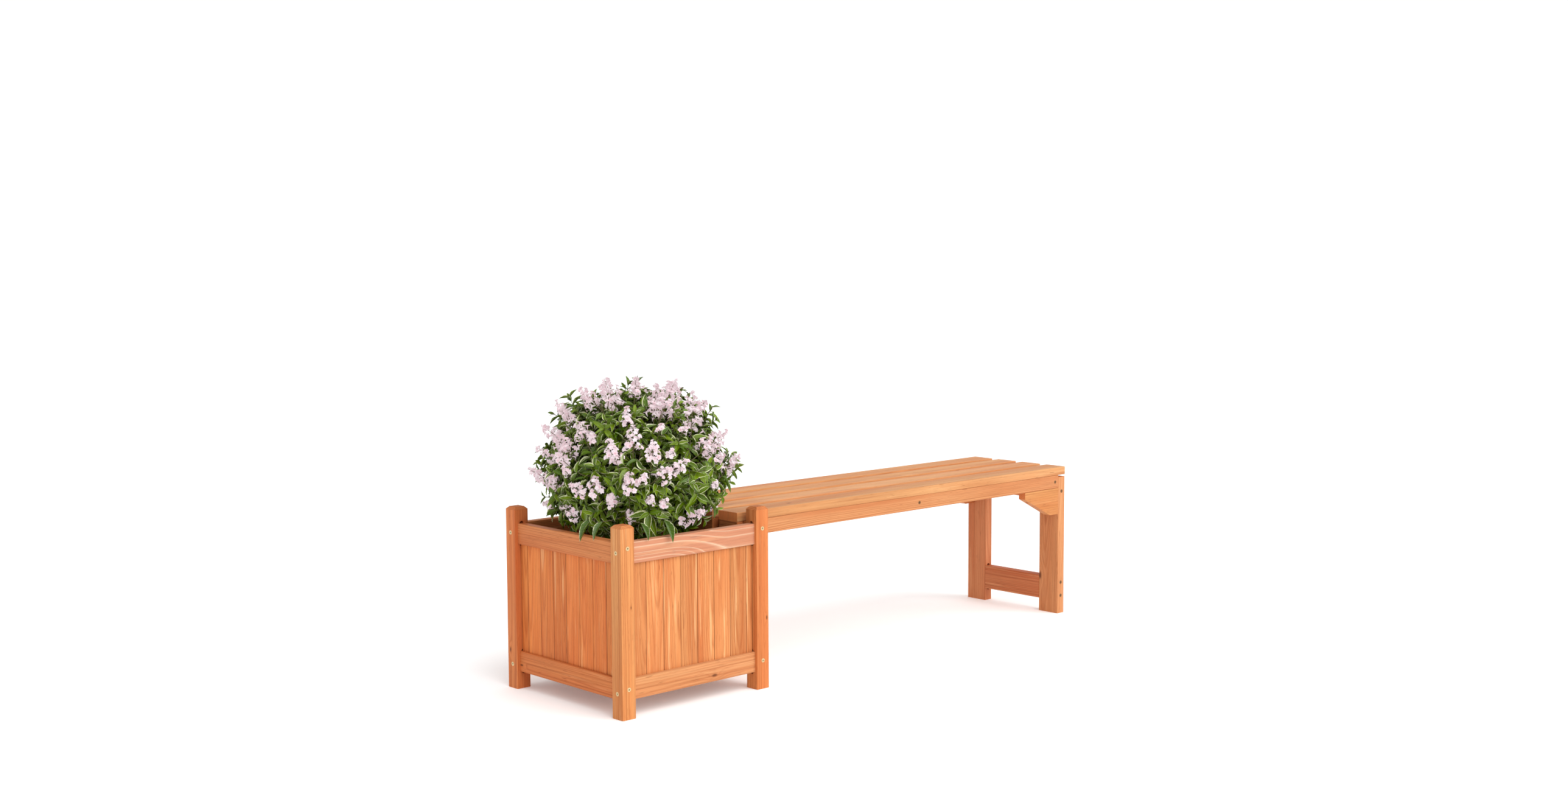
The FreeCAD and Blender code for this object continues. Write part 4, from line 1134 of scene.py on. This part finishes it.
def petal_material(colours):
    """Thin pink petals, deeper at the heart and some paler, with a painted glow for the light through them.
    """
    def build(net):
        side, along, _ = net.axes(net.coords("UV"))
        tone = net.add("Attribute", "Fac", attribute_name="tone")
        cloud = net.noise(net.coords("Object"), 700, 2, 0.6)
        colour = net.blend(net.ramp(along, (0.0, 0.0), (0.38, 0.7), (1.0, 1.0)),
                           toned(colours.petal, 0.88, 0.56, 0.62), toned(colours.petal))
        colour = net.blend(tone * 0.85, colour, toned(colours.petal, 1.05, 1.14, 1.12))
        vein = net.math("SINE", side * 40.0) * 0.05 + 0.96
        colour = net.tinted(colour, vein * (cloud * 0.24 + 0.88))
        # Painted glow: the petals emit their own colour
        return {"Base Color": colour, "Emission Color": colour, "Emission Strength": PETAL_PAINTED_GLOW,
                "Roughness": cloud * 0.15 + 0.5, "Specular IOR Level": 0.15, "relief": (vein, 0.4, 0.0003)}
    return finish_material("pink petal", build)


def bark_material(name, colour, scale):
    """Rough bark with lengthwise cracks and paler pores."""
    def build(net):
        place = net.coords("Object")
        crack = net.noise(place, (900 * scale, 900 * scale, 130 * scale), 4, 0.65)
        pore = net.ramp(net.noise(place, 1500, 1), (0.66, 0.0), (0.72, 1.0))
        tint = net.blend(crack, toned(colour, 0.55), toned(colour, 1.6))
        return {"Base Color": net.blend(pore * 0.4, tint, toned(colour, 2.4)),
                "Roughness": crack * 0.2 + 0.65, "relief": (crack, 0.7, 0.0008)}
    return finish_material(name, build)


class BENCH_OT_blossoms(bpy.types.Operator):
    """Set the panicles of pink blossoms and buds on the shrub"""
    bl_idname = "bench.blossoms"
    bl_label = "Blossoms"

    def execute(self, context):
        sizes, colours = context.scene.bench_sizes, context.scene.bench_colours
        models = [blossom_model(), bud_model()]
        lines = panicle_lines(sizes)
        petal = petal_material(colours)
        calyx = bark_material("brown pink calyx", colours.calyx, 1.4)
        front = len(FRONT_PANICLES)
        for name, part, seed in (("near_blossoms", lines[:front], 3), ("far_blossoms", lines[front:], 4)):
            if not part:
                continue
            picks, turns, places, tones = blossom_copies(part, sizes, np.random.default_rng(seed))
            kept = keep_clear(models, picks, turns, places)
            if not kept.any():
                raise RuntimeError("No blossom found room on the shrub")
            strewn(name, models, picks[kept], turns[kept], places[kept], tones[kept])
            give(new_piece(name, "shrub_crown"), petal, calyx)
        return {"FINISHED"}


def tube_piece(name, runs, sides):
    """One mesh of tapering tubes along smooth runs of points with radii."""
    curve = bpy.data.curves.new(name, "CURVE")
    curve.dimensions = "3D"
    curve.bevel_depth = 1.0
    curve.bevel_resolution = sides
    curve.resolution_u = 4
    curve.use_fill_caps = True
    for points, radii in runs:
        spline = curve.splines.new("NURBS")
        spline.points.add(len(points) - 1)
        for mark, point, radius in zip(spline.points, points, radii):
            mark.co = (*point, 1.0)
            mark.radius = radius
        spline.order_u = 3
        spline.use_endpoint_u = True
    piece = bpy.data.objects.new(name, curve)
    bpy.context.scene.collection.objects.link(piece)
    pick_alone(piece)
    bpy.ops.object.convert(target="MESH")
    for face in bpy.context.object.data.polygons:
        face.use_smooth = True


# Limbs of the shrub, how far the outer stems stand from its middle, and how radii shrink along a limb
LIMBS = 30
STEM_RING = 0.030
LIMB_TAPER = (1.0, 0.8, 0.55, 0.34)
SHOOT_RADII = (0.0014, 0.0012, 0.0010, 0.0007)
PANICLE_RADII = (0.0009, 0.0007, 0.0004)


def limb_runs(sizes):
    """Runs of points from the soil up the stems to the ends of the limbs inside the crown."""
    chance = np.random.default_rng(21)
    root = CROWN_MIDDLE.copy()
    root[2] = SOIL_HIGH.z - 0.004
    runs = []
    for way in spread_directions(LIMBS, -0.15, chance):
        end = CROWN_MIDDLE + way * CROWN_HALF * chance.uniform(0.50, 0.66)
        stem = round(math.atan2(way[1], way[0]) / (math.pi / 3)) * math.pi / 3
        upright = way[2] >= 0.85
        foot = root + (0.0 if upright else STEM_RING) * np.array((math.cos(stem), math.sin(stem), 0.0))
        rise = np.array((math.cos(stem) * 0.014, math.sin(stem) * 0.014, 0.060))
        lean = foot + rise * (0.9 if upright else 1.0)
        bow = (lean + end) / 2 + np.array((0, 0, -0.012)) + chance.normal(scale=0.006, size=3)
        runs.append(((foot, lean, bow, end), [sizes.stem_radius * share for share in LIMB_TAPER]))
    return runs


class BENCH_OT_stems(bpy.types.Operator):
    """Grow the stems out of the soil, their limbs and the thin twigs that bear leaves and flowers"""
    bl_idname = "bench.stems"
    bl_label = "Stems and Twigs"

    def execute(self, context):
        sizes, colours = context.scene.bench_sizes, context.scene.bench_colours
        limbs = limb_runs(sizes)
        if not limbs:
            raise RuntimeError("The shrub has no stems")
        tube_piece("woody_stems", limbs, 1)
        give(new_piece("woody_stems", "shrub_stems", "shrub_stems"),
             bark_material("stem bark", colours.bark, 1.0))
        joints = np.array([bow + (end - bow) * share for (_, _, bow, end), _ in limbs
                           for share in (0.2, 0.6, 1.0)])
        twigs = []
        for foot, tip, _, _ in shoot_lines(sizes):
            start = joints[np.argmin(np.linalg.norm(joints - foot, axis=1))]
            twigs.append(((start, (start + foot) / 2 - UP * 0.004, foot, tip), SHOOT_RADII))
        for foot, tip, _ in panicle_lines(sizes):
            twigs.append(((foot, (foot + tip) / 2, tip), PANICLE_RADII))
        tube_piece("twigs", twigs, 0)
        give(new_piece("twigs", "shrub_crown"), bark_material("young bark", colours.young_bark, 2.0))
        return {"FINISHED"}


def soil_material(colours):
    """Dark moist soil with lumps, grit and pale bits of bark."""
    def build(net):
        place = net.coords("Object")
        lumps = net.noise(place, 160, 4, 0.65)
        grit = net.noise(place, 900, 2, 0.6)
        damp = net.noise(place, 24, 2, 0.5)
        colour = net.blend(lumps, toned(colours.soil, 0.5), toned(colours.soil, 1.9))
        bits = net.ramp(grit, (0.66, 0.0), (0.72, 1.0))
        colour = net.blend(bits * 0.5, net.tinted(colour, damp * 0.8 + 0.6), (0.12, 0.07, 0.035, 1.0))
        return {"Base Color": colour, "Roughness": damp * -0.25 + 0.98,
                "relief": (lumps + grit * 0.35, 0.9, 0.003)}
    return finish_material("moist soil", build)


# Soil: faces of the bed along a side, room around the posts, waves as grain and share of the relief
BED_FACES = 72
POST_ROOM = 0.001
SOIL_WAVES = ((0.045, 1.3), (0.011, 0.55))
# Crumbs: models, smallest and largest, room from the rim of the soil
CRUMB_MODELS = 3
CRUMB_SIZES = (0.002, 0.0065)
CRUMB_INSET = 0.006


class BENCH_OT_soil(bpy.types.Operator):
    """Fill the planter with uneven soil and loose crumbs"""
    bl_idname = "bench.soil"
    bl_label = "Potting Soil"

    def execute(self, context):
        sizes = context.scene.bench_sizes
        bed = self.lay_bed(sizes.soil_relief)
        soil = soil_material(context.scene.bench_colours)
        give(new_piece("soil_bed", "potting_soil", "potting_soil"), soil)
        self.strew_crumbs(bed, sizes, soil)
        return {"FINISHED"}

    def lay_bed(self, relief):
        """A block of soil with a wavy top, open where the posts stand in its corners."""
        deselect()
        size = SOIL_HIGH - SOIL_LOW
        middle = (SOIL_LOW + SOIL_HIGH) / 2
        bpy.ops.mesh.primitive_grid_add(x_subdivisions=BED_FACES, y_subdivisions=BED_FACES, size=1.0,
                                        location=(middle.x, middle.y, SOIL_HIGH.z - relief))
        bed = bpy.context.object
        bed.scale = (size.x, size.y, 1.0)
        pick_alone(bed)
        bpy.ops.object.transform_apply(location=True, rotation=True, scale=True)
        reach = POST_HIGH.x - SOIL_LOW.x + POST_ROOM
        with editing():
            bpy.ops.mesh.select_mode(type="FACE")
            bpy.ops.mesh.select_all(action="DESELECT")
        for face in bed.data.polygons:
            face.select = (abs(face.center.x - middle.x) > size.x / 2 - reach - 0.002
                           and abs(face.center.y - middle.y) > size.y / 2 - reach - 0.002)
        with editing():
            bpy.ops.mesh.delete(type="FACE")
            bpy.ops.mesh.select_all(action="SELECT")
            bpy.ops.mesh.extrude_region_move(
                TRANSFORM_OT_translate={"value": (0, 0, SOIL_LOW.z - SOIL_HIGH.z + relief)})
            bpy.ops.mesh.select_all(action="SELECT")
            bpy.ops.mesh.normals_make_consistent(inside=False)
        top = bed.vertex_groups.new(name="top")
        top.add([v.index for v in bed.data.vertices if v.co.z > SOIL_HIGH.z - relief - 0.001], 1.0, "REPLACE")
        for grain, share in SOIL_WAVES:
            pattern = bpy.data.textures.new("soil relief", "CLOUDS")
            pattern.noise_scale = grain
            waves = bed.modifiers.new("relief", "DISPLACE")
            waves.texture = pattern
            waves.texture_coords = "GLOBAL"
            waves.direction = "Z"
            waves.mid_level = 0.5
            waves.strength = relief * share
            waves.vertex_group = "top"
            bpy.ops.object.modifier_apply(modifier=waves.name)
        for face in bed.data.polygons:
            face.use_smooth = True
        return bed

    def strew_crumbs(self, bed, sizes, soil):
        chance = np.random.default_rng(8)
        models = []
        for _ in range(CRUMB_MODELS):
            deselect()
            bpy.ops.mesh.primitive_ico_sphere_add(subdivisions=1, radius=0.5)
            lump = bpy.context.object
            for corner in lump.data.vertices:
                corner.co *= chance.uniform(0.7, 1.15)
            models.append(take_model(lump))
        tops = np.array([v.co[:] for v in bed.data.vertices if v.co.z > SOIL_HIGH.z - 2 * sizes.soil_relief])
        if not len(tops):
            raise RuntimeError("The soil has no top")
        spots = tops[chance.integers(0, len(tops), sizes.crumbs)]
        spots = spots + chance.normal(scale=0.0015, size=(sizes.crumbs, 3)) * (1, 1, 0)
        low, high = np.array(SOIL_LOW)[:2] + CRUMB_INSET, np.array(SOIL_HIGH)[:2] - CRUMB_INSET
        spots = spots[((spots[:, :2] > low) & (spots[:, :2] < high)).all(axis=1)]
        count = len(spots)
        turns = frames_from(chance.normal(size=(count, 3)), chance.normal(size=(count, 3)))
        size = chance.uniform(*CRUMB_SIZES, (count, 1, 1))
        turns = turns * (size * chance.uniform(0.6, 1.3, (count, 1, 3)))
        picks = chance.integers(0, CRUMB_MODELS, count)
        strewn("soil_crumbs", models, picks, turns, spots, chance.random(count))
        give(new_piece("soil_crumbs", "potting_soil"), soil)


# Side of the studio floor, and its own light, which stands for the overexposed floor
FLOOR_SIDE = 40.0
FLOOR_GLOW = 0.14


class BENCH_OT_stage(bpy.types.Operator):
    """Set up the pale floor, the soft light and the camera"""
    bl_idname = "bench.stage"
    bl_label = "Studio Stage"

    def execute(self, context):
        scene = context.scene
        deselect()
        bpy.ops.mesh.primitive_plane_add(size=FLOOR_SIDE, location=(0, 0, 0))
        ground = bpy.context.object
        if ground is None:
            raise RuntimeError("The studio has no floor")
        ground.name = "studio_floor"

        def build(net):
            cloud = net.noise(net.coords("Object"), 3, 2, 0.5)
            return {"Base Color": net.tinted(toned(scene.bench_colours.floor), cloud * 0.02 + 0.99),
                    "Roughness": 0.8, "Emission Color": (1.0, 1.0, 1.0, 1.0), "Emission Strength": FLOOR_GLOW}
        give(ground, finish_material("studio floor", build))

        world = bpy.data.worlds.new("studio light")
        world.use_nodes = True
        net = Net(world.node_tree)
        light = world.node_tree.nodes["Background"].inputs
        light["Color"].default_value = (1.0, 1.0, 1.0, 1.0)
        seen = net.add("LightPath", "Is Camera Ray")
        net.feed(light["Strength"], seen * (ROOM_SEEN - ROOM_LIGHT) + ROOM_LIGHT)
        scene.world = world
        scene.view_settings.view_transform = "Standard"

        key = bpy.data.lights.new("key light", "SUN")
        key.energy = KEY_LIGHT
        key.angle = KEY_WIDTH
        lamp = bpy.data.objects.new("key light", key)
        scene.collection.objects.link(lamp)
        lamp.rotation_euler = (-Vector(KEY_FROM)).to_track_quat("-Z", "Y").to_euler()

        view = bpy.data.cameras.new("catalogue view")
        view.sensor_fit = "HORIZONTAL"
        view.sensor_width = SENSOR
        view.lens = LENS
        camera = bpy.data.objects.new("catalogue view", view)
        scene.collection.objects.link(camera)
        right = Vector(VIEW_RIGHT) * math.cos(CAMERA_ROLL) + Vector(VIEW_UP) * math.sin(CAMERA_ROLL)
        up = Vector(VIEW_UP) * math.cos(CAMERA_ROLL) - Vector(VIEW_RIGHT) * math.sin(CAMERA_ROLL)
        turn = Matrix((right, up, -Vector(VIEW_AHEAD))).transposed()
        camera.matrix_world = Matrix.Translation(CAMERA_PLACE) @ turn.to_4x4()
        scene.camera = camera
        return {"FINISHED"}


STEPS = (BENCH_OT_stage, BENCH_OT_fir, BENCH_OT_screws, BENCH_OT_soil, BENCH_OT_stems, BENCH_OT_leaves,
         BENCH_OT_blossoms)


class BENCH_PT_panel(bpy.types.Panel):
    bl_idname = "BENCH_PT_panel"
    bl_label = "Bench with Planter"
    bl_space_type = "VIEW_3D"
    bl_region_type = "UI"
    bl_category = "Bench"

    def draw(self, context):
        for step in STEPS:
            self.layout.operator(step.bl_idname)
        for values in (context.scene.bench_sizes, context.scene.bench_colours):
            for name in values.__annotations__:
                self.layout.prop(values, name)


CLASSES = (BenchSizes, BenchColours, *STEPS, BENCH_PT_panel)


def register():
    for kind in CLASSES:
        bpy.utils.register_class(kind)
    bpy.types.Scene.bench_sizes = PointerProperty(type=BenchSizes)
    bpy.types.Scene.bench_colours = PointerProperty(type=BenchColours)


def unregister():
    del bpy.types.Scene.bench_sizes
    del bpy.types.Scene.bench_colours
    for kind in reversed(CLASSES):
        bpy.utils.unregister_class(kind)


def main():
    register()
    bpy.ops.bench.stage()
    bpy.ops.bench.fir()
    bpy.ops.bench.screws()
    bpy.ops.bench.soil()
    bpy.ops.bench.stems()
    bpy.ops.bench.leaves()
    bpy.ops.bench.blossoms()


if __name__ == "__main__":
    main()
